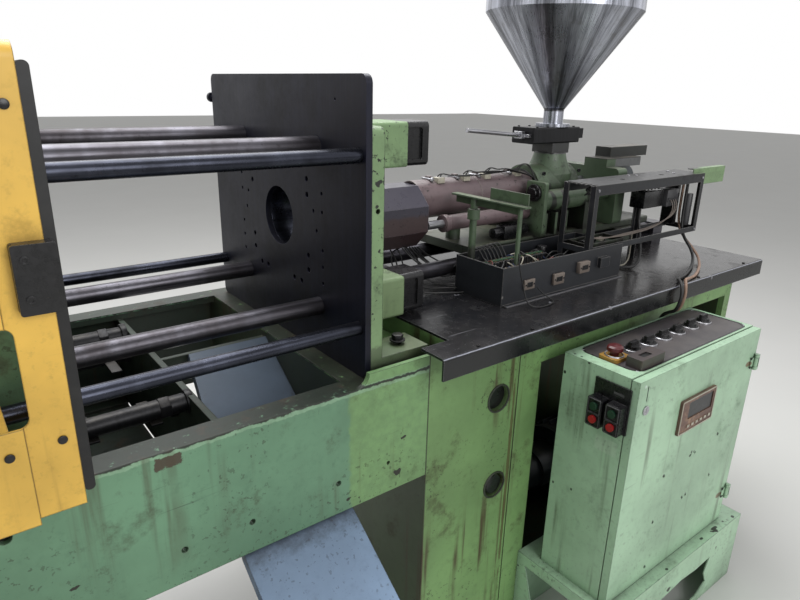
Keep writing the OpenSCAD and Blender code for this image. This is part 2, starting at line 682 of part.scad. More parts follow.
// Octagonal cover round the nozzle, open at both ends
nozzle_cover_x1 = 408;
nozzle_cover_z = axis_z - 38;
cover_t = 2;
module octagon(w) rotate(22.5) circle(d = w / cos(22.5), $fn = 8);
module nozzle_cover() color([0.32, 0.28, 0.33]) place() translate([0, mid_y, nozzle_cover_z]) difference() {
    along_x(nozzle_cover_x1 - nozzle_cover_len, nozzle_cover_x1) octagon(nozzle_cover_w);
    along_x(nozzle_cover_x1 - nozzle_cover_len - eps, nozzle_cover_x1 - cover_t) octagon(nozzle_cover_w - 2 * cover_t);
    bar_x(nozzle_cover_x1 - 3 * cover_t, nozzle_cover_x1 + eps, 0, axis_z - nozzle_cover_z, barrel_d + 2 * seat_gap);
}

// Barrel covers: split sheet tubes with clamping bands
cover_x0 = nozzle_cover_x1 + seat_gap;
cover_split = 640;
module cover_tube(x0, x1, d) difference() {
    bar_x(x0, x1, mid_y, axis_z, d);
    bar_x(x0 + 3, x1 - 3, mid_y, axis_z, d - 2 * cover_t);
    bar_x(x0 - eps, x1 + eps, mid_y, axis_z, band_d + 2 * seat_gap);
}
module barrel_covers() color([0.43, 0.36, 0.35]) place() {
    cover_tube(cover_x0, cover_split, cover_d - 3);
    cover_tube(cover_split, cover_end, cover_d);
    for (x = [cover_x0 + 60, cover_x0 + 160, cover_split + 14, cover_split + 150])
        block([x, mid_y - 8, axis_z + cover_d / 2 - 3], [x + 14, mid_y + 8, axis_z + cover_d / 2 + 8]);
}

// Feed housing: shouldered casting with a flared neck
throat_top = 437;
housing_r = 76;
housing_drop = 66;
bell_r = 77;
bell_z = 46;
spacer_w = 84;
spacer_z = axis_z + 110;
module feed_housing() color([0.42, 0.5, 0.38]) place() difference() {
    union() {
        along_x(feed_x0, feed_x1) translate([mid_y, axis_z]) {
            intersection() {
                circle(r = housing_r, $fn = 64);
                translate([-housing_r, -housing_drop]) square([2 * housing_r, housing_r + housing_drop]);
            }
            translate([-housing_r, -housing_drop]) square([2 * housing_r, housing_drop]);
        }
        translate([feed_x, mid_y, axis_z]) rotate_extrude($fn = 64) polygon([[0, 0], [bell_r, 0], [bell_r, bell_z],
            [66, bell_z + 20], [57, bell_z + 42], [51, spacer_z - axis_z + 2], [0, spacer_z - axis_z + 2]]);
        block([feed_x - spacer_w / 2, mid_y - spacer_w / 2, spacer_z],
            [feed_x + spacer_w / 2, mid_y + spacer_w / 2, throat_top]);
    }
    bar_x(feed_x0 - eps, feed_x + bell_r + eps, mid_y, axis_z, barrel_d + 2 * bore_gap);
    bar_z(feed_x, mid_y, axis_z, throat_top + eps, throat_d);
}

// Injection cylinders: two bodies on lugs at the sides of the barrel
lug_x = 812;
inj_y = 112;
inj_z = axis_z - 24;
inj_d = 66;
inj_rod_d = 32;
inj_x1 = 1070;
module injection_cylinders() color([0.25, 0.27, 0.28]) place() for (v = [-1, 1]) translate([0, mid_y + v * inj_y, 0])
    difference() {
        union() {
            along_x(lug_x, lug_x + 16) round_rect([-37, deck_z1], [37, axis_z + 39], 8);
            bar_x(lug_x + 15, inj_x1, 0, inj_z, inj_d);
            bar_x(inj_x1 - 30, inj_x1, 0, inj_z, inj_d + 4);
            block([inj_x1 - 40, -30, deck_z1], [inj_x1 - 16, 30, inj_z]);
        }
        bar_x(lug_x + 40, inj_x1 + eps, 0, inj_z, inj_rod_d + 2 * bore_gap);
        bar_x(lug_x - eps, lug_x + 17, 12 * v, axis_z + 18, 15);
    }

// Crosshead: plate with cylinder rods, top block and screw bearing
cross_x0 = 1180;
cross_x1 = 1232;
module screw_crosshead() color([0.36, 0.46, 0.34]) place() difference() {
    union() {
        along_x(cross_x0, cross_x1) round_rect([mid_y - 150, deck_z1 + seat_gap], [mid_y + 150, axis_z + 60], 14);
        block([cross_x0, mid_y - 100, axis_z + 58], [cross_x1 + 150, mid_y - 10, axis_z + 88]);
        block([cross_x0 + 60, mid_y - 70, axis_z + 87], [cross_x1 + 230, mid_y - 8, axis_z + 122]);
        for (v = [-1, 1]) bar_x(lug_x + 40 + screw_stroke + 10, cross_x0 + eps, mid_y + v * inj_y, inj_z, inj_rod_d);
    }
    bar_x(cross_x0 - eps, cross_x1 + eps, mid_y, axis_z, screw_shank + 2 * bore_gap);
}
screw_shank = 40;

// Hydraulic motor that turns the screw
motor_x0 = cross_x1;
motor_d = 112;
module screw_motor() color([0.2, 0.21, 0.22]) place() difference() {
    union() {
        bar_x(motor_x0, motor_x0 + 26, mid_y, axis_z, motor_d);
        translate([motor_x0 + 25, mid_y, axis_z]) rotate([0, 90, 0]) cylinder(d1 = 88, d2 = 100, h = 80);
        bar_x(motor_x0 + 104, motor_x0 + 194, mid_y, axis_z, motor_d);
        bar_x(motor_x0 + 193, motor_x0 + 210, mid_y, axis_z, 90);
        for (v = [-1, 1]) bar_y(motor_x0 + 150, mid_y + v * 64 - 20, mid_y + v * 64 + 20, axis_z, 40);
    }
    bar_x(motor_x0 - eps, motor_x0 + 60, mid_y, axis_z, screw_shank + 2 * bore_gap);
}

// Screw: one helical flight round a core, with tip and shank
screw_x0 = barrel_x0 + 60 + screw_stroke + 10;
screw_x1 = feed_x + 60;
flight_pitch = 52;
flight_gap = 0.6;
module screw() color([0.6, 0.6, 0.6]) place() translate([screw_x0, mid_y, axis_z]) rotate([0, 90, 0]) {
    cylinder(d1 = 6, d2 = barrel_bore - 14, h = 30);
    translate([0, 0, 29]) linear_extrude(height = screw_x1 - screw_x0 - 29,
        twist = -360 * (screw_x1 - screw_x0 - 29) / flight_pitch,
        slices = round((screw_x1 - screw_x0 - 29) / flight_pitch * 8)) {
        circle(d = barrel_bore - 12, $fn = 10);
        polygon([[0, -5], [barrel_bore / 2 - flight_gap, -2.5], [barrel_bore / 2 - flight_gap, 2.5], [0, 5]]);
    }
    translate([0, 0, screw_x1 - screw_x0 - eps]) cylinder(d = screw_shank, h = motor_x0 + 55 - screw_x1);
}

// Slide gate housing under the hopper
gate_z0 = throat_top;
gate_z1 = gate_z0 + 50;
gate_w = 92;
slide_w = 66;
slide_t = 10;
slide_z = gate_z0 + 20;
gate_x0 = 861;
gate_x1 = 1085;
gate_nose_x1 = 1123;
module slide_gate_housing() color([0.2, 0.17, 0.2]) place() difference() {
    union() {
        along_x(gate_x0, gate_x1) round_rect([mid_y - gate_w / 2, gate_z0], [mid_y + gate_w / 2, gate_z1], 5);
        block([gate_x1 - eps, mid_y - gate_w / 2 + 14, gate_z0 + 12],
            [gate_nose_x1, mid_y + gate_w / 2 - 14, gate_z1 - 6]);
    }
    bar_z(feed_x, mid_y, gate_z0 - eps, gate_z1 + eps, throat_d);
    block([gate_x0 - eps, mid_y - slide_w / 2 - seat_gap, slide_z - seat_gap],
        [slide_x1 + 2, mid_y + slide_w / 2 + seat_gap, slide_z + slide_t + seat_gap]);
}

// Slide gate with its long pull rod
slide_x1 = 1060;
module slide_gate() color([0.6, 0.6, 0.62]) place() {
    difference() {
        block([850, mid_y - slide_w / 2, slide_z], [slide_x1, mid_y + slide_w / 2, slide_z + slide_t]);
        bar_z(feed_x, mid_y, slide_z - eps, slide_z + slide_t + eps, throat_d);
    }
    block([836, mid_y - 16, slide_z - 4], [850 + eps, mid_y + 16, slide_z + slide_t + 8]);
    translate([837, mid_y, slide_z + 6]) rotate([0, -85, 0]) difference() {
        cylinder(d = 13, h = 222);
        translate([-10, 0, 212]) rotate([0, 90, 0]) cylinder(d = 5, h = 20);
    }
}

// Hopper: neck flange, neck, cone and straight rim in one sheet
hopper_z0 = gate_z1;
neck_z1 = 540;
cone_z1 = neck_z1 + cone_h;
hopper_z1 = cone_z1 + rim_h;
lid_z = hopper_z1 + seat_gap;
lid_pin_y = hopper_d / 2 + 18;
lid_pin_up = 4;
module hopper() color([0.6, 0.62, 0.64]) place() translate([feed_x, mid_y, 0]) {
    hopper_shell();
    for (x = [-42, 32]) block([x, hopper_d / 2 + 7, hopper_z1 - 30], [x + 10, lid_pin_y + 9, lid_z + lid_pin_up + 9]);
    for (x = [-42, 32]) block([x, hopper_d / 2 - 1, hopper_z1 - 30], [x + 10, hopper_d / 2 + 8, hopper_z1 - 2]);
    bar_x(-41, 41, lid_pin_y, lid_z + lid_pin_up, 8);
}
module hopper_shell() rotate_extrude($fn = 72)
    polygon([[throat_d / 2, hopper_z0], [55, hopper_z0], [55, hopper_z0 + 10], [neck_d / 2, hopper_z0 + 10],
        [neck_d / 2, neck_z1], [hopper_d / 2, cone_z1], [hopper_d / 2, hopper_z1 - 8],
        [hopper_d / 2 + 6, hopper_z1 - 8], [hopper_d / 2 + 6, hopper_z1],
        [hopper_d / 2 - hopper_wall, hopper_z1], [hopper_d / 2 - hopper_wall, cone_z1 + 1],
        [neck_d / 2 - hopper_wall, neck_z1 + 1], [throat_d / 2, neck_z1 - 8]]);

// Hopper lid with turned-down rim and a knob, hinged at the rear
module hopper_lid() color([0.6, 0.62, 0.64]) place() translate([feed_x, mid_y, lid_z]) {
    rotate_extrude($fn = 72) polygon([[0, 0], [hopper_d / 2 + 6, 0], [hopper_d / 2 + 6, 3], [60, 9], [0, 10]]);
    translate([0, -120, 4]) cylinder(d = 14, h = 24);
    translate([0, -120, 27]) cylinder(d1 = 24, d2 = 34, h = 14);
    difference() {
        union() {
            block([-30, hopper_d / 2 - 10, 0], [30, lid_pin_y, 5]);
            bar_x(-30, 30, lid_pin_y, lid_pin_up, 16);
        }
        bar_x(-31, 31, lid_pin_y, lid_pin_up, 8 + 2 * bore_gap);
    }
}

// Terminal box: open tray with terminal strips and front sockets
tb_x0 = 472;
tb_x1 = 1000;
tb_y0 = 57;
tb_y1 = 236;
tb_h = 105;
tb_wall = 3;
module terminal_box() color([0.12, 0.13, 0.13]) place() {
    difference() {
        block([tb_x0, tb_y0, table_z], [tb_x1, tb_y1, table_z + tb_h]);
        block([tb_x0 + tb_wall, tb_y0 + tb_wall, table_z + tb_wall],
            [tb_x1 - tb_wall, tb_y1 - tb_wall, table_z + tb_h + eps]);
        for (y = [rack_y0, rack_y1 - rack_t]) block([tb_x1 - tb_wall - eps, y - eps, rack_low - eps],
            [tb_x1 + eps, y + rack_t + eps, table_z + tb_h + eps]);
    }
    block([tb_x0 + 6, tb_y0 - 16, table_z], [tb_x1 - 6, tb_y0 + eps, table_z + tb_wall]);
    for (y = [tb_y0 + 40, tb_y0 + 120]) {
        block([tb_x0 + 60, y, table_z + tb_wall - eps], [tb_x1 - 210, y + 12, table_z + 60]);
        for (x = [tb_x0 + 64:22:tb_x1 - 230]) block([x, y - 10, table_z + 50], [x + 16, y + 22, table_z + 82]);
    }
    for (x = [780, 880]) block([x, tb_y0 - 12, table_z + 46], [x + 44, tb_y0 + eps, table_z + 76]);
}

// Instrument rack: slotted top plate on angle legs with lower rails
rack_x0 = 836;
rack_x1 = 1445;
rack_y0 = 62;
rack_y1 = 175;
rack_low = 145;
rack_z = 345;
top_t = 4;
rack_gland_d = 16;
arm_y = 72;
arm_x1 = 1600;
rack_t = 3;
leg = 18;
module rack_leg(x, y, sx, sy, z0) {
    for (f = [[leg, rack_t], [rack_t, leg]])
        block([min(x, x + sx * f[0]), min(y, y + sy * f[1]), z0],
            [max(x, x + sx * f[0]), max(y, y + sy * f[1]), rack_z - top_t + eps]);
}
module instrument_rack() color([0.16, 0.17, 0.17]) place() {
    difference() {
        block([rack_x0, rack_y0, rack_z - top_t], [rack_x1, rack_y1, rack_z]);
        for (i = [0:5])
            block([rack_x0 - eps, rack_y0 + 8 + i * 17, rack_z - 5], [rack_x0 + 22, rack_y0 + 17 + i * 17, rack_z + 1]);
        for (x = [rack_x0 + 200, rack_x0 + 420]) bar_z(x, rack_y0 + 50, rack_z - 5, rack_z + 1, 20);
    }
    for (y = [rack_y0, rack_y1 - rack_t]) {
        block([rack_x0, y, rack_z - 30], [rack_x1, y + rack_t, rack_z - top_t + eps]);
        block([rack_x0, y, rack_low], [rack_x1, y + rack_t, rack_low + leg]);
    }
    for (x = [rack_x0, rack_x1 - rack_t]) block([x, rack_y0, rack_low], [x + rack_t, rack_y1, rack_low + leg]);
    for (y = [[rack_y0, 1], [rack_y1, -1]]) {
        rack_leg(rack_x0, y[0], 1, y[1], table_z + tb_wall);
        rack_leg(rack_x1, y[0], -1, y[1], rack_low);
    }
    rack_leg(1240, rack_y1, -1, -1, table_z);
    for (r = [black_route[0], tan_route[0]]) bar_z(r[0], r[1], r[2], rack_z - top_t + eps, rack_gland_d);
    block([rack_x1 - eps, arm_y, rack_z - 40], [arm_x1, arm_y + rack_t, rack_z + 15]);
    block([rack_x1 - 60, arm_y, rack_z - eps], [arm_x1, arm_y + rack_t, rack_z + 15]);
    block([rack_x1 - 60, arm_y, rack_z + 12], [arm_x1, arm_y + 22, rack_z + 15]);
}

// Crosswise switch rail on a post, with an angle plate on its near half
sr_x = 505;
sr_y0 = 22;
sr_y1 = 292;
sr_z = 322;
module switch_rail() color([0.3, 0.36, 0.3]) place() {
    block([sr_x - 12, sr_y0, sr_z - 5], [sr_x + 12, sr_y1, sr_z]);
    block([sr_x - 2, sr_y0 + 20, sr_z - 24], [sr_x + 2, sr_y1 - 10, sr_z - 5 + eps]);
    block([sr_x + 6, sr_y0 + 6, sr_z - eps], [sr_x + 10, 160, sr_z + 30]);
    bar_z(sr_x, 212, table_z + tb_wall, sr_z - 5 + eps, 20);
    bar_z(sr_x, 212, sr_z - 62, sr_z - 34, 34);
    bar_z(sr_x - 2, 44, 170, sr_z - 4, 12);
}

// Electric motor and pump on the bay floor
pm_y = beam_y0 + 250;
pm_z = base_z + sill_h + 150;
pm_x0 = 980;
pm_len = 350;
fin_top = 134;
pm_foot_x = [pm_x0 + 70, pm_x0 + 270];
module pump_motor() color([0.25, 0.35, 0.4]) place() difference() {
    union() {
        bar_x(pm_x0, pm_x0 + pm_len, pm_y, pm_z, 240);
        for (a = [0:15:345]) translate([0, pm_y, pm_z]) rotate([a, 0, 0])
            block([pm_x0 + 20, -2, 110], [pm_x0 + pm_len - 30, 2, fin_top]);
        bar_x(pm_x0 - 20, pm_x0 + eps, pm_y, pm_z, 250);
        bar_x(pm_x0 + pm_len - eps, pm_x0 + pm_len + 50, pm_y, pm_z, 200);
        bar_x(pm_x0 - 120, pm_x0 - 19, pm_y, pm_z, 150);
        bar_x(pm_x0 - 260, pm_x0 - 119, pm_y, pm_z, 130);
        bar_z(pm_x0 - 190, pm_y, pm_z, pm_z + 100, 50);
        for (v = [-1, 1]) block([pm_foot_x[0] - 30, pm_y + v * 95 - 25, base_z + sill_h],
            [pm_foot_x[1] + 30, pm_y + v * 95 + 25, pm_z - 60]);
        block([pm_x0 + 100, pm_y - 50, pm_z + 100], [pm_x0 + 210, pm_y + 50, pm_z + 170]);
    }
    for (v = [-1, 1], x = pm_foot_x)
        bar_z(x, pm_y + v * 108, base_z + sill_h - eps, base_z + sill_h + 30, 12);
}

// Cabinet plinth with broken-out openings in its front and left face
plinth_wall = 4;
plinth_gland_d = 18;
function up(f) = floor_z + f * plinth_h;
module control_plinth() color([0.58, 0.72, 0.58]) place() {
    difference() {
        block([plinth_x0, plinth_y0, floor_z], [plinth_x1, plinth_y1, plinth_z1]);
        block([plinth_x0 + plinth_wall, plinth_y0 + plinth_wall, floor_z - eps],
            [plinth_x1 - plinth_wall, plinth_y1 - plinth_wall, plinth_z1 - plinth_wall]);
        along_y(plinth_y0 - eps, plinth_y0 + plinth_wall + eps) polygon([[plinth_x0 + 60, up(0.12)],
            [plinth_x0 + 52, up(0.5)], [plinth_x0 + 120, up(0.63)], [plinth_x0 + 260, up(0.61)],
            [plinth_x0 + 380, up(0.66)], [plinth_x0 + 470, up(0.63)], [plinth_x0 + 548, up(0.65)],
            [plinth_x0 + 530, up(0.42)], [plinth_x0 + 552, up(0.25)], [plinth_x0 + 500, up(0.12)]]);
        along_x(plinth_x0 - eps, plinth_x0 + plinth_wall + eps) polygon([[plinth_y0 + 40, up(0.17)],
            [plinth_y0 + 40, up(0.85)], [plinth_y1 - 30, up(0.85)], [plinth_y1 - 80, up(0.17)]]);
    }
    for (r = [black_route, tan_route]) let (e = r[len(r) - 1])
        bar_z(e[0], e[1], plinth_z1 - eps, e[2], plinth_gland_d);
}

// Cabinet: sheet box, open to the front behind its door
door_t = 22;
door_gap = 2;
panel_x0 = cab_x0 + 40;
panel_x1 = cab_x1 - 11;
panel_y0 = cab_y0 + 21;
panel_y1 = cab_y1 - 8;
hinge_x = cab_x1 - 6;
hinge_y = cab_y0 - 6.5;
hinge_z = [cab_z1 - 104, cab_z1 - 552];
hinge_half = 24;
knuckle = 14;
knuckle_d = 12;
leaf_y1 = cab_y0 + door_t + 26;
module hinge_leaf(z) {
    for (w = [-hinge_half, knuckle + seat_gap]) {
        bar_z(hinge_x, hinge_y, z + w, z + w + hinge_half - knuckle - seat_gap, knuckle_d);
        block([hinge_x, hinge_y - knuckle_d / 2, z + w],
            [cab_x1 + 3, hinge_y + knuckle_d / 2, z + w + hinge_half - knuckle - seat_gap]);
    }
    bar_z(hinge_x, hinge_y, z - hinge_half, z + hinge_half, 6);
    block([cab_x1 + seat_gap, hinge_y - knuckle_d / 2, z - hinge_half], [cab_x1 + 3, leaf_y1, z + hinge_half]);
    block([cab_x1 - 1, cab_y0 + door_t + door_gap, z - hinge_half], [cab_x1 + 3, leaf_y1, z + hinge_half]);
}
module control_cabinet() color([0.6, 0.74, 0.6]) place() {
    cabinet_box();
    for (z = hinge_z) hinge_leaf(z);
}
module cabinet_box() difference() {
    block([cab_x0, cab_y0 + door_t + door_gap, plinth_z1], [cab_x1, cab_y1, cab_z1]);
    block([cab_x0 + cab_wall, cab_y0, plinth_z1 + cab_wall], [cab_x1 - cab_wall, cab_y1 - cab_wall, cab_z1 - 8]);
    translate([0, 0, cab_z1 - 3]) linear_extrude(4)
        round_rect([panel_x0 - 1, panel_y0 + 10], [panel_x1 + 1, panel_y1 + 1], 34);
    for (i = [0:5]) bar_z(knob_x(i), knob_y, cab_z1 - 20, cab_z1 + eps, 23);
    bar_z(estop_x, knob_y - 4, cab_z1 - 20, cab_z1 + eps, 23);
}
function knob_x(i) = cab_x0 + 162 + i * knob_pitch;
knob_y = cab_y1 - 91;
estop_x = cab_x0 + 73;

// Door: folded tray with a window for the display, hinged at the right
display_x0 = cab_x0 + 212;
display_w = 176;
display_z1 = cab_z1 - 115;
display_h = 100;
door_holes = [[914, -358], [890, -357], [758, -374], [1037, -482], [1039, -343], [906, -496], [889, -499],
    [742, -515], [744, -668]];
module cabinet_door() color([0.6, 0.74, 0.6]) place() difference() {
    union() {
        block([cab_x0, cab_y0, plinth_z1 + 2], [cab_x1, cab_y0 + door_t, cab_z1 - 2]);
        for (z = hinge_z) {
            bar_z(hinge_x, hinge_y, z - knuckle, z + knuckle, knuckle_d);
            block([hinge_x - 24, cab_y0 - 3, z - knuckle], [hinge_x, cab_y0 + eps, z + knuckle]);
        }
    }
    block([cab_x0 + 3, cab_y0 + 3, plinth_z1 + 5], [cab_x1 - 3, cab_y0 + door_t + eps, cab_z1 - 5]);
    block([display_x0 + 14, cab_y0 - eps, display_z1 - display_h + 14],
        [display_x0 + display_w - 14, cab_y0 + 4, display_z1 - 14]);
    for (z = hinge_z) bar_z(hinge_x, hinge_y, z - knuckle - 1, z + knuckle + 1, 6 + 2 * bore_gap);
    for (h = door_holes) bar_y(h[0], cab_y0 - eps, cab_y0 + 4, h[1], 7);
    bar_y(lock_x, cab_y0 - eps, cab_y0 + 4, lock_z, 18 + 2 * bore_gap);
}
lock_x = cab_x0 + 40;
lock_z = cab_z1 - 85;

module door_lock() color([0.3, 0.3, 0.3]) place() difference() {
    union() {
        bar_y(lock_x, cab_y0 - 3, cab_y0 + 16, lock_z, 18);
        bar_y(lock_x, cab_y0 - 3, cab_y0 - seat_gap, lock_z, 24);
        block([lock_x - 6, cab_y0 + 15, lock_z - 30], [lock_x + 6, cab_y0 + 19, lock_z + 9]);
    }
    block([lock_x - 1.5, cab_y0 - 4, lock_z - 7], [lock_x + 1.5, cab_y0 - 1, lock_z + 7]);
}

// Text display with a bezel and a row of keys
module operator_display() color([0.55, 0.42, 0.34]) place() {
    difference() {
        union() {
            along_y(cab_y0 - 7, cab_y0) round_rect([display_x0, display_z1 - display_h],
                [display_x0 + display_w, display_z1], 4);
            block([display_x0 + 15, cab_y0 - 1, display_z1 - display_h + 15],
                [display_x0 + display_w - 15, cab_y0 + 18, display_z1 - 15]);
        }
        along_y(cab_y0 - 8, cab_y0 - 4)
            round_rect([display_x0 + 38, display_z1 - 62], [display_x0 + display_w - 12, display_z1 - 12], 3);
    }
    for (i = [0:5]) block([display_x0 + 40 + i * 22, cab_y0 - 8, display_z1 - display_h + 12],
        [display_x0 + 54 + i * 22, cab_y0 - 6, display_z1 - display_h + 22]);
}

// Panel overlay in the cabinet's top recess
module control_panel_plate() color([0.36, 0.34, 0.34]) place() difference() {
    translate([0, 0, cab_z1 - 3]) linear_extrude(2) round_rect([panel_x0, panel_y0 + 11], [panel_x1, panel_y1], 33);
    for (i = [0:5]) bar_z(knob_x(i), knob_y, cab_z1 - 20, cab_z1 + eps, 23);
    bar_z(estop_x, knob_y - 4, cab_z1 - 20, cab_z1 + eps, 23);
}

// Selector knob: round skirt with a raised grip bar
knob_h = 24;
module selector_knob(i) translate([knob_x(i), knob_y, cab_z1 - 1 + seat_gap]) {
    cylinder(d = knob_d, h = 5);
    translate([0, 0, 4]) cylinder(d1 = knob_d - 6, d2 = knob_d - 9, h = 9);
    translate([0, 0, -19]) cylinder(d = 22, h = 20);
    intersection() {
        translate([-knob_d / 2, -5, 0]) cube([knob_d, 10, knob_h]);
        cylinder(d1 = knob_d - 2, d2 = knob_d - 10, h = knob_h);
    }
}
module knob_colour() color([0.08, 0.08, 0.09]) place() children();
module selector_knob_1() knob_colour() selector_knob(0);
module selector_knob_2() knob_colour() selector_knob(1);
module selector_knob_3() knob_colour() selector_knob(2);
module selector_knob_4() knob_colour() selector_knob(3);
module selector_knob_5() knob_colour() selector_knob(4);
module selector_knob_6() knob_colour() selector_knob(5);

// Emergency stop: mushroom head on a stem, in a round collar
estop_travel = 5;
module estop_button() color([0.5, 0.1, 0.12]) place() translate([estop_x, knob_y - 4, cab_z1 - 1 + seat_gap]) {
    translate([0, 0, -19]) cylinder(d = 22, h = 40);
    translate([0, 0, 20]) rotate_extrude() polygon([[0, 0], [19, 0], [21, 3], [20, 11], [15, 15], [0, 17]]);
}

// Base plate of the emergency stop, and the counter block beside it
stop_base = [62, 54];
counter_a = [cab_x0 + 58, panel_y0 + 16];
counter_b = [cab_x0 + 162, panel_y0 + 60];
module counter_block() color([0.85, 0.7, 0.3]) place() translate([0, 0, cab_z1 - 1]) {
    difference() {
        translate([estop_x, knob_y - 4, 0]) linear_extrude(9) round_rect(-stop_base / 2, stop_base / 2, 8);
        bar_z(estop_x, knob_y - 4, -eps, 10, 22 + 2 * bore_gap);
    }
    difference() {
        linear_extrude(26) round_rect(counter_a, counter_b, 3);
        translate([0, 0, 22]) linear_extrude(5) round_rect(counter_a + [26, 12], counter_b - [40, 14], 2);
    }
}

// Starter plate and two push button boxes on the cabinet's left side
starter_y = [-219, -270];
box_w = 42;
box_h = 78;
box_d = 26;
starter_z = -150;
button_d = 20;
module starter_boxes() color([0.1, 0.1, 0.12]) place() {
    difference() {
        block([cab_x0 - 4, -296, -190], [cab_x0, -196, -68]);
        block([cab_x0 - 5, -280, -96], [cab_x0 - 3, -250, -84]);
    }
    for (y = starter_y) difference() {
        along_x(cab_x0 - 4 - box_d, cab_x0 - 4) round_rect([y - box_w / 2, starter_z - box_h / 2],
            [y + box_w / 2, starter_z + box_h / 2], 5);
        for (w = [-1, 1]) bar_x(cab_x0 - 5 - box_d, cab_x0 - 12, y, starter_z + w * 18, button_d + 2 * seat_gap);
    }
}
module push_button(i, w) bar_x(cab_x0 - 10 - box_d, cab_x0 - 16, starter_y[i], starter_z + w * 18, button_d);
module start_colour() color([0.1, 0.3, 0.18]) place() children();
module stop_colour() color([0.75, 0.1, 0.1]) place() children();
module start_button_1() start_colour() push_button(0, 1);
module stop_button_1() stop_colour() push_button(0, -1);
module start_button_2() start_colour() push_button(1, 1);
module stop_button_2() stop_colour() push_button(1, -1);

// Cables: round tubes swept along hand-set points
function unit(v) = v / norm(v);
function tangent(p, i) = unit(p[min(i + 1, len(p) - 1)] - p[max(i - 1, 0)]);
function side_of(t) = unit(cross(t, abs(t[0]) < 0.9 ? [1, 0, 0] : [0, 1, 0]));
function catmull(a, b, c, d, t) = 0.5 * (2 * b + (c - a) * t + (2 * a - 5 * b + 4 * c - d) * t * t
    + (3 * b - a - 3 * c + d) * t * t * t);
function smooth_route(p, n) = concat([for (i = [0:len(p) - 2], j = [0:n - 1])
    catmull(p[max(i - 1, 0)], p[i], p[i + 1], p[min(i + 2, len(p) - 1)], j / n)], [p[len(p) - 1]]);
module tube(p, d, sides) {
    rings = [for (i = [0:len(p) - 1]) let (t = tangent(p, i), u = side_of(t), w = cross(t, u))
        for (k = [0:sides - 1]) p[i] + d / 2 * (cos(360 * k / sides) * u + sin(360 * k / sides) * w)];
    walls = [for (i = [0:len(p) - 2], k = [0:sides - 1]) let (a = i * sides + k, b = i * sides + (k + 1) % sides)
        [b, a, a + sides, b + sides]];
    polyhedron(rings, concat([[for (k = [0:sides - 1]) k]], walls,
        [[for (k = [sides - 1:-1:0]) (len(p) - 1) * sides + k]]), convexity = 6);
}
module cable_black() color([0.08, 0.08, 0.08]) place() tube(smooth_route(black_route, 3), 10, 8);
module cable_tan() color([0.6, 0.48, 0.4]) place() tube(smooth_route(tan_route, 3), 9, 8);
black_route = [[1404, 95, 327], [1404, 95, 290], [1404, 95, 240], [1404, 94, 190], [1403, 88, 150],
    [1398, 70, 122], [1385, 40, 98], [1358, 12, 78], [1310, -15, 66], [1245, -42, 61.5],
    [1160, -70, 61], [1105, -82, 62], [1074, -102, 66], [1056, -121, 57], [1048, -129, 30],
    [1044, -126, 0], [1044, -117, -19], [1044, -100, -29], [1044, -84, -42], [1044, -72, -76],
    [1044, -64, -140], [1044, -63, -300], [1044, -63, -450], [1044, -63, plinth_z1 + 16]];
tan_route = [[1424, 120, 327], [1424, 120, 290], [1424, 120, 240], [1424, 118, 190], [1423, 108, 150],
    [1420, 85, 122], [1412, 50, 96], [1390, 12, 74], [1338, -24, 64], [1270, -58, 61],
    [1190, -88, 60.5], [1135, -97, 62], [1100, -107, 66], [1079, -121, 57], [1069, -129, 30],
    [1064, -126, 0], [1064, -117, -19], [1064, -100, -29], [1064, -84, -42], [1064, -72, -76],
    [1064, -64, -140], [1064, -63, -300], [1064, -63, -450], [1064, -63, plinth_z1 + 16]];

clamp_bed();
tank_base();
levelling_feet();
table_top();
product_chute();
fixed_platen();
fixed_mould_plate();
tie_bars();
tie_bar_nuts();
rear_platen();
clamp_cylinder();
guard_rods();
moving_platen();
moving_mould_plate();
clamp_ram();
ejector_yoke();
front_guard();
guard_edge_strip();
guard_latch();
rear_guard();
carriage_rails();
injection_carriage();
barrel();
nozzle();
nozzle_cover();
barrel_covers();
feed_housing();
injection_cylinders();
hopper();
hopper_lid();
slide_gate_housing();
slide_gate();
screw_crosshead();
screw_motor();
screw();
terminal_box();
instrument_rack();
switch_rail();
pump_motor();
control_plinth();
control_cabinet();
cabinet_door();
door_lock();
operator_display();
control_panel_plate();
starter_boxes();
counter_block();
estop_button();
selector_knob_1();
selector_knob_2();
selector_knob_3();
selector_knob_4();
selector_knob_5();
selector_knob_6();
start_button_1();
stop_button_1();
start_button_2();
stop_button_2();
cable_black();
cable_tan();
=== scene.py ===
"""Looks of a worn horizontal injection moulding machine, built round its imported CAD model.

Places are written in machine millimetres, as in the part's source: X from the fixed
mould face, Y from the near edge of the mould plate, Z from the top of the bed.
at() turns such a place into metres in the model's own frame.
"""

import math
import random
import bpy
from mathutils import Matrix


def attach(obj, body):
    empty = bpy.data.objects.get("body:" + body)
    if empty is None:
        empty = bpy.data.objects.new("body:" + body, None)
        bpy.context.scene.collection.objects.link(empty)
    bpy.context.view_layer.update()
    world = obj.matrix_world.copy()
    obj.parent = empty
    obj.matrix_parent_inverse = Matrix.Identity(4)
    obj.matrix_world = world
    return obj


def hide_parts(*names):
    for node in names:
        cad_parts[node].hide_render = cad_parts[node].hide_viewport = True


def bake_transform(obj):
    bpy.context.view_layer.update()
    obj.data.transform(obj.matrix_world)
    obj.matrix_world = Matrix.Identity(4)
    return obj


bl_info = {
    "name": "Injection moulding machine looks",
    "version": (1, 0, 0),
    "blender": (4, 5, 0),
    "location": "View3D > Sidebar > Machine",
    "description": "Finishes, fittings, wiring and stage for an injection moulding machine",
    "category": "Object",
}

import bmesh
import bpy
from mathutils import Matrix, Vector

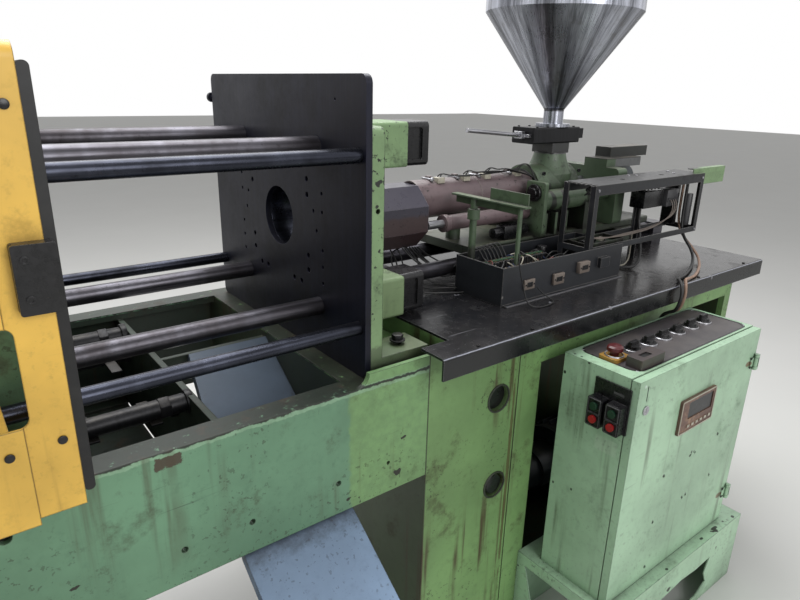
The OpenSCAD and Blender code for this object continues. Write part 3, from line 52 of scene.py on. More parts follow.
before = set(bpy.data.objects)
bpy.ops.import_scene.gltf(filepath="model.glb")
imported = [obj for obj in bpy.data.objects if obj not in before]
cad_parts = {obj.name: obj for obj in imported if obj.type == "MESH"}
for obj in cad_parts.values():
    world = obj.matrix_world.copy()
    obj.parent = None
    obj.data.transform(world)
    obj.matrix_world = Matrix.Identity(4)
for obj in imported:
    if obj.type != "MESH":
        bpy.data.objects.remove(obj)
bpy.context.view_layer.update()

# Machine millimetres of the model's middle, and the height of the bed's top
MIDDLE_X = -142.5
MIDDLE_Y = 253.5
BED_TOP = 940.0
# Screw axis, across the machine and above the bed
AXIS_Y = 372.5
AXIS_Z = 295.0
# Directions that fittings point in; near is towards the operator
UP = (0, 0, 1)
NEAR = (0, -1, 0)
LEFT = (-1, 0, 0)
RIGHT = (1, 0, 0)
# Tops and faces that fittings stand on
TABLE_TOP = 55
CABINET_FRONT = -313
CABINET_SIDE = 562
PANEL_TOP = -41
# Y and Z of the pull cylinder's axis
PULL_AXIS = (296, 236)
# Where the heater bands' clips stand along the barrel
CLIPS = (468.3, 568.3, 654, 790)
# Selector knobs on the panel, and the starter boxes' middles and front
KNOB_X = [724 + 72.5 * i for i in range(6)]
KNOB_Y = -186
STARTER_Y = (-219, -270)
STARTER_FRONT = 532
# The display's front, and the floor and rims of the tray that holds the green board
DISPLAY_FRONT = -320.6
TRAY = (((860, 80, 148), (1038, 160, 151)), ((860, 80, 150), (863, 160, 168)),
        ((1035, 80, 150), (1038, 160, 168)), ((862, 80, 150), (1036, 83, 168)),
        ((862, 157, 150), (1036, 160, 168)))
# Rows of the terminal box, their first terminal and the step between terminals
TERMINAL_ROWS = (103, 183)
FIRST_TERMINAL = 540
TERMINAL_STEP = 22
TERMINALS = 11
# Plug sockets in the terminal box's front: left, right, front, foot and top
SOCKETS = ((552, 594, 50, 88, 116), (672, 718, 48, 82, 114), (778.5, 825.5, 43, 99.5, 132.5))
# Pipe union's radii and heights
UNION = ((0, 0), (24, 0), (24, 14), (19, 16), (19, 34), (0, 34))
# Faces that meet at more than this angle keep a sharp edge
SHARP_ANGLE = math.radians(35)
# Tints that several finishes share: bare spots, rust, grime, and the painted shade inside the bed and the
# base
PRIMER = (0.10, 0.12, 0.10)
RUST = (0.42, 0.26, 0.15)
INNER_SHADE = (0.09, 0.085, 0.08)
DUSTY_GREEN = (0.24, 0.22, 0.15)


def at(x, y, z):
    """A place in machine millimetres, as metres in the model's frame."""
    return Vector(((x - MIDDLE_X) / 1000, (y - MIDDLE_Y) / 1000, (z + BED_TOP) / 1000))


def linear(colour, gain=1.0):
    """A display colour as a linear one, made lighter or darker by gain."""
    def channel(c):
        return c / 12.92 if c <= 0.04045 else ((c + 0.055) / 1.055) ** 2.4
    return tuple(min(1.0, channel(c) * gain) for c in colour[:3]) + (1.0,)


class Wire:
    """A socket that can be used in arithmetic; each operation adds one Math node."""

    def __init__(self, finish, socket):
        self.finish = finish
        self.socket = socket

    def maths(self, operation, *terms):
        return self.finish.node("ShaderNodeMath", {"operation": operation}, dict(enumerate(terms)))

    def __add__(self, other):
        return self.maths("ADD", self, other)

    def __sub__(self, other):
        return self.maths("SUBTRACT", self, other)

    def __mul__(self, other):
        return self.maths("MULTIPLY", self, other)

    def __radd__(self, other):
        return self.maths("ADD", other, self)

    def __rsub__(self, other):
        return self.maths("SUBTRACT", other, self)

    def __rmul__(self, other):
        return self.maths("MULTIPLY", other, self)

    def most(self, other):
        """The larger of the two."""
        return self.maths("MAXIMUM", self, other)


class Finish:
    """A material in the making: its nodes, and the masks that wear, dirt, painted shade and painted
    highlights share.
    """

    def __init__(self, name):
        self.material = bpy.data.materials.new(name)
        self.material.use_nodes = True
        self.tree = self.material.node_tree
        self.tree.nodes.clear()
        self.place = self.node("ShaderNodeTexCoord", output="Object")
        self.parts = None

    def node(self, kind, settings=None, values=None, output=0):
        """Adds a node: a value that is a Wire is linked, and any other is set on its socket."""
        made = self.tree.nodes.new(kind)
        for key, value in (settings or {}).items():
            setattr(made, key, value)
        for key, value in (values or {}).items():
            if isinstance(value, Wire):
                self.tree.links.new(value.socket, made.inputs[key])
            else:
                made.inputs[key].default_value = value
        return Wire(self, made.outputs[output])

    def axis(self, letter):
        """One coordinate of the surface point, in machine millimetres."""
        if self.parts is None:
            split = self.tree.nodes.new("ShaderNodeSeparateXYZ")
            self.tree.links.new(self.place.socket, split.inputs[0])
            shift = {"X": MIDDLE_X, "Y": MIDDLE_Y, "Z": -BED_TOP}
            self.parts = {k: Wire(self, split.outputs[k]) * 1000.0 + shift[k] for k in "XYZ"}
        return self.parts[letter]

    def noise(self, scale, detail=4.0, roughness=0.55, stretch=(1, 1, 1), shift=0.0):
        """Cloudy noise from 0 to 1; shift picks another part of it."""
        where = self.node("ShaderNodeMapping", {}, {
            "Vector": self.place, "Scale": stretch, "Location": (shift, shift * 0.7, -shift)})
        return self.node("ShaderNodeTexNoise", {}, {
            "Vector": where, "Scale": scale, "Detail": detail, "Roughness": roughness})

    def ramp(self, value, low, high):
        """0 below low, 1 above high, with a soft turn between."""
        return self.node("ShaderNodeMapRange", {"interpolation_type": "SMOOTHSTEP"}, {
            "Value": value, "From Min": low, "From Max": high})

    def mix(self, first, second, share):
        """A colour between two others."""
        return self.node("ShaderNodeMix", {"data_type": "RGBA"}, {0: share, 6: first, 7: second}, output=2)

    def spot(self, centre, radii, ragged=0.35, scale=30.0):
        """A ragged patch round a place; a radius of None reaches all along that axis."""
        total = None
        for letter, middle, radius in zip("XYZ", centre, radii):
            if radius is None:
                continue
            away = (self.axis(letter) - middle) * (1.0 / radius)
            total = away * away if total is None else total + away * away
        return self.ramp(total + (self.noise(scale, 5.0, 0.65) - 0.5) * (ragged * 6), 1.15, 0.75)

    def zone(self, x=None, y=None, z=None, soft=2.0, ragged=0.0):
        """A box in machine millimetres: each side is (low, high), and None leaves an end open."""
        share = None
        wander = (self.noise(34.0, 6.0, 0.75, shift=31.0) - 0.5) * ragged if ragged else 0.0
        for letter, span in zip("XYZ", (x, y, z)):
            for place, outwards in zip(span or (), (-soft, soft)):
                if place is not None:
                    side = self.ramp(self.axis(letter) + wander, place + outwards, place)
                    share = side if share is None else share * side
        return share

    def round_zone(self, radius, soft=3.0):
        """1 inside a cylinder round the screw axis."""
        y, z = self.axis("Y") - AXIS_Y, self.axis("Z") - AXIS_Z
        return self.ramp(y * y + z * z, (radius + soft) ** 2, radius ** 2)

    def facing_up(self):
        """1 on faces that look upwards, where dust settles."""
        normal = self.node("ShaderNodeNewGeometry", output="Normal")
        return self.ramp(self.node("ShaderNodeSeparateXYZ", {}, {"Vector": normal}, output=2), 0.7, 0.95)

    def edges(self, radius=0.003):
        """The edge mask and the softened normal of the piece's corners."""
        soft = self.node("ShaderNodeBevel", {"samples": 4}, {"Radius": radius})
        true = self.node("ShaderNodeNewGeometry", output="Normal")
        along = self.node("ShaderNodeVectorMath", {"operation": "DOT_PRODUCT"}, {0: soft, 1: true},
                          output="Value")
        return self.ramp(along, 0.985, 0.8), soft

    def bump(self, height, strength, distance, normal):
        """Small relief on top of another normal."""
        return self.node("ShaderNodeBump", {}, {
            "Height": height, "Strength": strength, "Distance": distance, "Normal": normal})

    def surface(self, **values):
        """Ends the material in a principled shader; an underscore stands for a blank."""
        shader = self.node("ShaderNodeBsdfPrincipled", {}, {
            key.replace("_", " "): value for key, value in values.items()})
        output = self.tree.nodes.new("ShaderNodeOutputMaterial")
        self.tree.links.new(shader.socket, output.inputs["Surface"])
        return self.material


def worn_paint(name, paint, grime, bare, stains=0.5, runs=0.4, chips=0.5, flakes=0.7, roughness=0.45,
               edge=0.003, corners=0.6, dust=0.0, dust_tint=(0.50, 0.47, 0.42), scratches=0.3, specks=0.4,
               patches=(), zones=(), hole=None):
    """Old machine paint: cloudy, stained, run down by oil, dusty on top, darkened by dirt and painted shade
    in its corners, and chipped at its edges.
    """
    f = Finish(name)
    mottle = f.noise(45.0, 6.0, 0.7, shift=3.0)
    cloud = f.noise(2.2, 5.0, 0.6)
    colour = f.mix(linear(paint, 0.72), linear(paint, 1.12), f.ramp(cloud, 0.32, 0.68))
    colour = f.mix(colour, linear(paint, 0.55), f.ramp(mottle, 0.5, 0.8) * 0.5)
    for sides, tint, share in zones:
        tone = f.mix(linear(tint, 0.8), linear(tint, 1.15), f.ramp(mottle * 0.6 + cloud * 0.4, 0.35, 0.65))
        colour = f.mix(colour, tone, f.zone(**sides) * share)
    for centre, radii, tint, share in patches:
        colour = f.mix(colour, linear(tint), f.spot(centre, radii) * share)
    run = f.ramp(f.noise(26.0, 4.0, 0.6, stretch=(1, 1, 0.05), shift=5.0), 0.55, 0.7)
    colour = f.mix(colour, linear(grime), run * f.ramp(f.noise(3.2, 3.0, shift=8.0), 0.42, 0.62) * runs)
    stain = f.ramp(f.noise(7.0, 9.0, 0.72, shift=11.0), 0.54, 0.68)
    colour = f.mix(colour, linear(grime, 0.7), stain * stains)
    thick = f.ramp(f.noise(4.0, 3.0, 0.6, shift=19.0), 0.42, 0.58)
    speck = f.ramp(f.noise(95.0, 3.0, 0.6, shift=17.0), 0.61, 0.65)
    colour = f.mix(colour, linear(grime, 0.35), speck * thick * specks)
    if dust:
        settled = f.ramp(f.noise(5.0, 8.0, 0.7, shift=21.0) * 0.7 + mottle * 0.3, 0.38, 0.6)
        colour = f.mix(colour, linear(dust_tint), settled * f.facing_up() * dust)
    # Dirt and painted shade: darker where the AO node finds corners and hollows
    hollow_dirt_and_shade = f.node("ShaderNodeAmbientOcclusion", {"samples": 4}, {"Distance": 0.06}, output="AO")
    colour = f.mix(colour, linear(grime, 0.3), f.ramp(hollow_dirt_and_shade + mottle * 0.3, 0.95, 0.45) * corners)
    worn, soft = f.edges(edge)
    broken = f.noise(70.0, 8.0, 0.75, shift=2.0)
    lines = f.node("ShaderNodeMapping", {},
                   {"Vector": f.place, "Rotation": (0.5, 0.7, 0.4), "Scale": (0.03, 1.0, 1.0)})
    marks = f.node("ShaderNodeTexNoise", {},
                   {"Vector": lines, "Scale": 160.0, "Detail": 2.0, "Roughness": 0.5})
    scratched = f.ramp(marks, 0.7, 0.74) * f.ramp(cloud, 0.5, 0.6) * scratches
    colour = f.mix(colour, linear(bare), scratched)
    wear = worn * chips + broken * 0.5
    blot = f.noise(26.0, 2.0, 0.4, shift=14.0) + (broken - 0.5) * 0.12
    flaked = f.ramp(blot + (thick - 1.0) * 0.06, flakes, flakes + 0.01)
    rim = f.ramp(wear, 0.49, 0.53)
    gone = f.ramp(wear, 0.55, 0.59).most(flaked)
    colour = f.mix(colour, linear(grime, 0.5), rim * 0.6)
    colour = f.mix(colour, linear(bare), gone)
    # Painted shade: near-black inside the bore round the screw axis
    if hole:
        colour = f.mix(colour, linear((0.05, 0.05, 0.055)), f.round_zone(hole) * 0.95)
    return f.surface(Base_Color=colour, Roughness=mottle * 0.25 + (stain * 0.2 + (roughness - 0.12)),
                     Normal=f.bump(mottle * 0.25 - gone - scratched * 0.5, 0.3, 0.0009, soft))


def oiled_steel(name, steel, stain, along="X", roughness=0.3, stains=0.5, metallic=0.9, edge=0.0015,
                bands=0.0, shine=0.5, dust=0.0):
    """Ground steel: fine marks along one axis under a patchy film of old oil, bright at its edges."""
    f = Finish(name)
    stretch = tuple(0.03 if letter == along else 1.0 for letter in "XYZ")
    marks = f.noise(150.0, 3.0, 0.6, stretch=stretch)
    film = f.noise(6.0, 7.0, 0.66, shift=4.0)
    speck = f.noise(80.0, 6.0, 0.7, shift=9.0)
    colour = f.mix(linear(steel, 0.7), linear(steel, 1.25), f.ramp(marks, 0.3, 0.7))
    if bands:
        across = tuple(1.0 if letter == along else 0.02 for letter in "XYZ")
        band = f.ramp(f.noise(9.0, 3.0, 0.6, stretch=across, shift=6.0), 0.45, 0.6)
        colour = f.mix(colour, linear(stain, 1.3), band * bands)
    colour = f.mix(colour, linear(stain), f.ramp(film, 0.46, 0.68) * stains)
    colour = f.mix(colour, linear(stain, 0.4), f.ramp(speck, 0.6, 0.7) * stains * 0.7)
    if dust:
        colour = f.mix(colour, linear((0.45, 0.43, 0.40)), f.ramp(film, 0.4, 0.6) * f.facing_up() * dust)
    worn, soft = f.edges(edge)
    colour = f.mix(colour, linear(steel, 3.2), worn * f.ramp(speck, 0.35, 0.55) * shine)
    return f.surface(Base_Color=colour, Metallic=metallic,
                     Roughness=film * 0.35 + (speck * 0.15 + (roughness - 0.2)),
                     Normal=f.bump(marks + speck * 0.3, 0.1, 0.0004, soft))


def moulded(name, colour, dust=(0.62, 0.58, 0.52), dusty=0.25, roughness=0.5, edge=0.0012, settled=0.0,
            tints=()):
    """Moulded plastic or rubber with dust and fine scuffs."""
    f = Finish(name)
    speck = f.noise(90.0, 6.0, 0.7)
    cloud = f.noise(9.0, 5.0, 0.6, shift=6.0)
    mixed = f.mix(linear(colour, 0.8), linear(colour, 1.2), cloud)
    for sides, tint in tints:
        mixed = f.mix(mixed, f.mix(linear(tint, 0.8), linear(tint, 1.2), cloud), f.zone(**sides, soft=0.4))
    mixed = f.mix(mixed, linear(dust), f.ramp(cloud * 0.5 + speck * 0.5, 0.46, 0.66) * dusty)
    if settled:
        mixed = f.mix(mixed, linear(dust), f.ramp(cloud, 0.35, 0.65) * f.facing_up() * settled)
    worn, soft = f.edges(edge)
    mixed = f.mix(mixed, linear(dust, 0.8), worn * speck * 0.7)
    return f.surface(Base_Color=mixed, Roughness=speck * 0.25 + (roughness - 0.12),
                     Normal=f.bump(speck, 0.12, 0.0004, soft))


def brushed_sheet(name, steel, centre):
    """Rolled stainless sheet: streaks that run down the hopper, partly brushed grain and partly painted
    reflection, and dust in its seams.
    """
    f = Finish(name)
    x = (f.axis("X") - centre[0]) * 0.001
    y = (f.axis("Y") - centre[1]) * 0.001
    turn = y.maths("ARCTAN2", y, x)
    where = f.node("ShaderNodeCombineXYZ", {}, {"X": turn, "Y": f.axis("Z") * 0.0003})
    band = f.node("ShaderNodeTexNoise", {}, {"Vector": where, "Scale": 5.0, "Detail": 5.0, "Roughness": 0.6})
    fine = f.node("ShaderNodeTexNoise", {}, {"Vector": where, "Scale": 90.0, "Detail": 3.0})
    # Light and dark streaks round the hopper: brushed grain, and painted reflection
    colour = f.mix(linear(steel, 0.3), linear(steel, 1.25), f.ramp(band * 0.75 + fine * 0.25, 0.38, 0.62))
    cloud = f.noise(12.0, 6.0, 0.7)
    colour = f.mix(colour, linear((0.42, 0.40, 0.37)), f.ramp(cloud, 0.55, 0.72) * 0.5)
    colour = f.mix(colour, linear((0.16, 0.15, 0.15)), f.zone(z=(536, 544), soft=2.0) * 0.8)
    _worn, soft = f.edges(0.0015)
    return f.surface(Base_Color=colour, Metallic=0.95, Roughness=fine * 0.1 + (cloud * 0.2 + 0.14),
                     Normal=f.bump(fine, 0.05, 0.0004, soft))


def aim(place, direction):
    """A matrix that stands a piece made along Z on a place, pointing in a direction."""
    return Matrix.Translation(place) @ Vector(direction).to_track_quat("Z", "Y").to_matrix().to_4x4()


def bevelled(bm, faces_before, width, segments=2):
    """Rounds the edges of what was added to the mesh since faces_before was taken."""
    edges = dict.fromkeys(e for face in bm.faces if face not in faces_before for e in face.edges)
    sharp = [e for e in edges if len(e.link_faces) == 2 and e.calc_face_angle() > 0.6]
    bmesh.ops.bevel(bm, geom=sharp, offset=width, segments=segments, profile=0.5, affect="EDGES", material=-1)


def add_block(bm, low, high, bevel=0.001, segments=2):
    """A block between two corners in machine millimetres, with rounded edges."""
    before = set(bm.faces)
    a, b = at(*low), at(*high)
    size = Matrix.Diagonal(((b - a).x, (b - a).y, (b - a).z, 1.0))
    bmesh.ops.create_cube(bm, size=1.0, matrix=Matrix.Translation((a + b) / 2) @ size)
    if bevel:
        bevelled(bm, before, bevel, segments)


def add_drum(bm, place, direction, width, height, sides=24, top=None, bevel=0.0008):
    """A drum or prism that stands on a place; top is its other diameter where it tapers."""
    before = set(bm.faces)
    top = width if top is None else top
    lift = Matrix.Translation((0, 0, height / 2000))
    bmesh.ops.create_cone(bm, cap_ends=True, segments=sides, radius1=width / 2000, radius2=top / 2000,
                          depth=height / 1000, matrix=aim(place, direction) @ lift)
    if bevel:
        bevelled(bm, before, bevel)


def add_socket_screw(bm, place, direction, width, height):
    """A round screw head with a sunk hexagon."""
    before = set(bm.faces)
    add_drum(bm, place, direction, width, height, 24, bevel=0)
    ahead = Vector(direction).normalized()
    cap = max((f for f in bm.faces if f not in before), key=lambda f: f.calc_center_median().dot(ahead))
    bmesh.ops.inset_region(bm, faces=[cap], thickness=width * 0.00022, depth=0.0)
    sunk = bmesh.ops.extrude_face_region(bm, geom=[cap])["geom"]
    bmesh.ops.delete(bm, geom=[cap], context="FACES_ONLY")
    bmesh.ops.translate(bm, verts=[v for v in sunk if isinstance(v, bmesh.types.BMVert)],
                        vec=-ahead * height * 0.0006)


def add_hex_bolt(bm, place, direction, across, height):
    """A hexagon bolt head on a washer."""
    ahead = Vector(direction).normalized()
    add_drum(bm, place, direction, across * 1.5, height * 0.22, 24, bevel=0.0004)
    add_drum(bm, place + ahead * height * 0.00022, direction, across * 1.15, height * 0.78, 6, bevel=0.0008)


def add_rod(bm, start, end, width, sides=16):
    """A round rod between two places in the model's frame."""
    add_drum(bm, start, end - start, width, (end - start).length * 1000, sides, bevel=0)


def add_turned(bm, profile, place, direction, steps=48):
    """A turned shape: the profile's radii and heights, in millimetres, spun round an axis."""
    where = aim(place, direction)
    corners = [bm.verts.new(where @ Vector((r / 1000, 0, h / 1000))) for r, h in profile]
    lines = [bm.edges.new(pair) for pair in zip(corners, corners[1:])]
    bmesh.ops.spin(bm, geom=corners + lines, cent=place, axis=where.to_3x3() @ Vector((0, 0, 1)),
                   dvec=(0, 0, 0), angle=math.tau, steps=steps, use_merge=True)
    bmesh.ops.remove_doubles(bm, verts=bm.verts[:], dist=1e-6)


def add_outline(bm, low, high, corner, width, height, lie):
    """A raised line round a rounded rectangle; lie turns its two directions and its lift into a place."""
    loops = []
    for inset, lift in ((0, 0), (0, height), (width, height), (width, 0)):
        loop = []
        for k in range(4):
            u = (high[0] - corner, low[0] + corner, low[0] + corner, high[0] - corner)[k]
            v = (high[1] - corner, high[1] - corner, low[1] + corner, low[1] + corner)[k]
            for step in range(9):
                a = math.radians(90 * k + 11.25 * step)
                reach = corner - inset
                loop.append(bm.verts.new(lie(u + reach * math.cos(a), v + reach * math.sin(a), lift)))
        loops.append(loop)
    for first, second in zip(loops, loops[1:]):
        for i in range(len(first)):
            j = (i + 1) % len(first)
            bm.faces.new((first[i], first[j], second[j], second[i]))


def link_piece(name, mesh, material, body):
    """Puts a mesh with its finish into the scene, riding on a body where one is named."""
    mesh.materials.clear()
    mesh.materials.append(material)
    piece = bpy.data.objects.new(name, mesh)
    bpy.context.scene.collection.objects.link(piece)
    if body:
        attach(piece, body)
    return piece


def round_circle(count, radius, first):
    """Offsets evenly round a circle; first is the first one's angle in degrees."""
    for turn in range(count):
        a = math.radians(first + 360 / count * turn)
        yield radius * math.cos(a), radius * math.sin(a)


def show(name, bm, material, body="root"):
    """Turns a mesh in the making into a piece that rides on a body."""
    bmesh.ops.recalc_face_normals(bm, faces=bm.faces[:])
    mesh = bpy.data.meshes.new(name)
    bm.to_mesh(mesh)
    bm.free()
    mesh.polygons.foreach_set("use_smooth", [True] * len(mesh.polygons))
    mesh.set_sharp_from_angle(angle=SHARP_ANGLE)
    return link_piece(name, mesh, material, body)


def route(places, steps):
    """A smooth line through places in machine millimetres, with steps from each one to the next."""
    points = [at(*place) for place in places]
    line = []
    for i in range(len(points) - 1):
        a, b, c, d = (points[min(max(j, 0), len(points) - 1)] for j in (i - 1, i, i + 1, i + 2))
        for k in range(steps):
            t = k / steps
            line.append(0.5 * (2 * b + (c - a) * t + (2 * a - 5 * b + 4 * c - d) * t ** 2
                               + (3 * b - a - 3 * c + d) * t ** 3))
    return line + [points[-1]]


def tube_curve(name, lines, width):
    """A curve object of round tubes along lines of places in the model's frame."""
    data = bpy.data.curves.new(name, "CURVE")
    data.dimensions = "3D"
    data.bevel_depth = width / 2000
    data.bevel_resolution = 3
    data.use_fill_caps = True
    for line in lines:
        spline = data.splines.new("POLY")
        spline.points.add(len(line) - 1)
        spline.use_smooth = True
        for point, place in zip(spline.points, line):
            point.co = (*place, 1.0)
    piece = bpy.data.objects.new(name, data)
    bpy.context.scene.collection.objects.link(piece)
    return piece


def harness(name, lines, width, material, body="root"):
    """Fixed wires, turned from curves into one mesh."""
    curve = tube_curve(name + "_curve", lines, width)
    bpy.context.view_layer.update()
    mesh = bpy.data.meshes.new_from_object(curve.evaluated_get(bpy.context.evaluated_depsgraph_get()))
    bpy.data.objects.remove(curve)
    mesh.name = name
    return link_piece(name, mesh, material, body)


def dress(material, *nodes):
    """Gives CAD nodes a material in their own slots."""
    for name in nodes:
        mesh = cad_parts[name].data
        mesh.materials.clear()
        mesh.materials.append(material)


def paint_setting(label, text, value):
    """A colour that a user may change, given as it shows on a display."""
    return bpy.props.FloatVectorProperty(name=label, description=text, subtype="COLOR_GAMMA", size=3,
                                         min=0.0, max=1.0, default=value)


class MachineColours(bpy.types.PropertyGroup):
    """Colours of the machine's paints and plastics."""

    bed: paint_setting("Bed", "Sea-green paint of the bed and the clamp", (0.41, 0.57, 0.45))
    base: paint_setting("Base", "Yellow-green paint of the base and the fixed platen", (0.46, 0.60, 0.38))
    platen: paint_setting("Fixed platen", "Chipped green paint of the fixed platen", (0.49, 0.60, 0.43))
    casting: paint_setting("Castings", "Oily green paint of the injection unit", (0.31, 0.38, 0.29))
    rack: paint_setting("Rack", "Worn black paint of the rack and the terminal box", (0.105, 0.11, 0.125))
    plate: paint_setting("Mould plates", "Oily dark steel of the mould plates", (0.09, 0.095, 0.15))
    table: paint_setting("Table", "Satin black paint of the table", (0.06, 0.065, 0.08))
    bars: paint_setting("Bars", "Ground steel of the tie bars and guard rods", (0.34, 0.335, 0.36))
    guard: paint_setting("Guards", "Yellow paint of the sliding guards", (0.93, 0.75, 0.33))
    chute: paint_setting("Chute", "Pale blue paint of the chute", (0.49, 0.58, 0.69))
    covers: paint_setting("Barrel covers", "Heat-stained sheet of the barrel covers", (0.40, 0.34, 0.35))
    cabinet: paint_setting("Cabinet", "Mint paint of the cabinet", (0.64, 0.77, 0.65))
    panel: paint_setting("Panel", "Scuffed overlay of the control panel", (0.23, 0.215, 0.225))
    display: paint_setting("Display", "Moulded frame of the display", (0.37, 0.27, 0.23))
    collar: paint_setting("Emergency stop's collar", "Yellow moulding", (0.60, 0.45, 0.17))
    mushroom: paint_setting("Emergency stop", "Dark red moulding", (0.29, 0.06, 0.08))
    grime: paint_setting("Grime", "Old oil and rust dust", (0.26, 0.19, 0.12))
    floor: paint_setting("Floor", "Plain pale floor", (0.80, 0.80, 0.79))


class MachineSizes(bpy.types.PropertyGroup):
    """Sizes of the fittings and the strength of the light."""

    screw_head: bpy.props.FloatProperty(
        name="Screw heads", description="Diameter of the small screw heads", subtype="DISTANCE",
        unit="LENGTH", default=0.010, min=0.004, max=0.02)
    wire: bpy.props.FloatProperty(
        name="Wires", description="Diameter of the wires in the terminal box", subtype="DISTANCE",
        unit="LENGTH", default=0.0035, min=0.002, max=0.006)
    key_light: bpy.props.FloatProperty(
        name="Key light", description="Power of the large lamp overhead", subtype="POWER",
        default=260.0, min=10.0, max=1000.0)
    fill_light: bpy.props.FloatProperty(
        name="Fill light", description="Power of the lamp at the operator's side", subtype="POWER",
        default=110.0, min=0.0, max=1000.0)
    sky: bpy.props.FloatProperty(
        name="Room light", description="Strength of the even light from all round",
        default=0.42, min=0.0, max=1.0)


FINISHES = {}


def finish(name):
    """A finish that mix_paints has made."""
    return FINISHES[name]


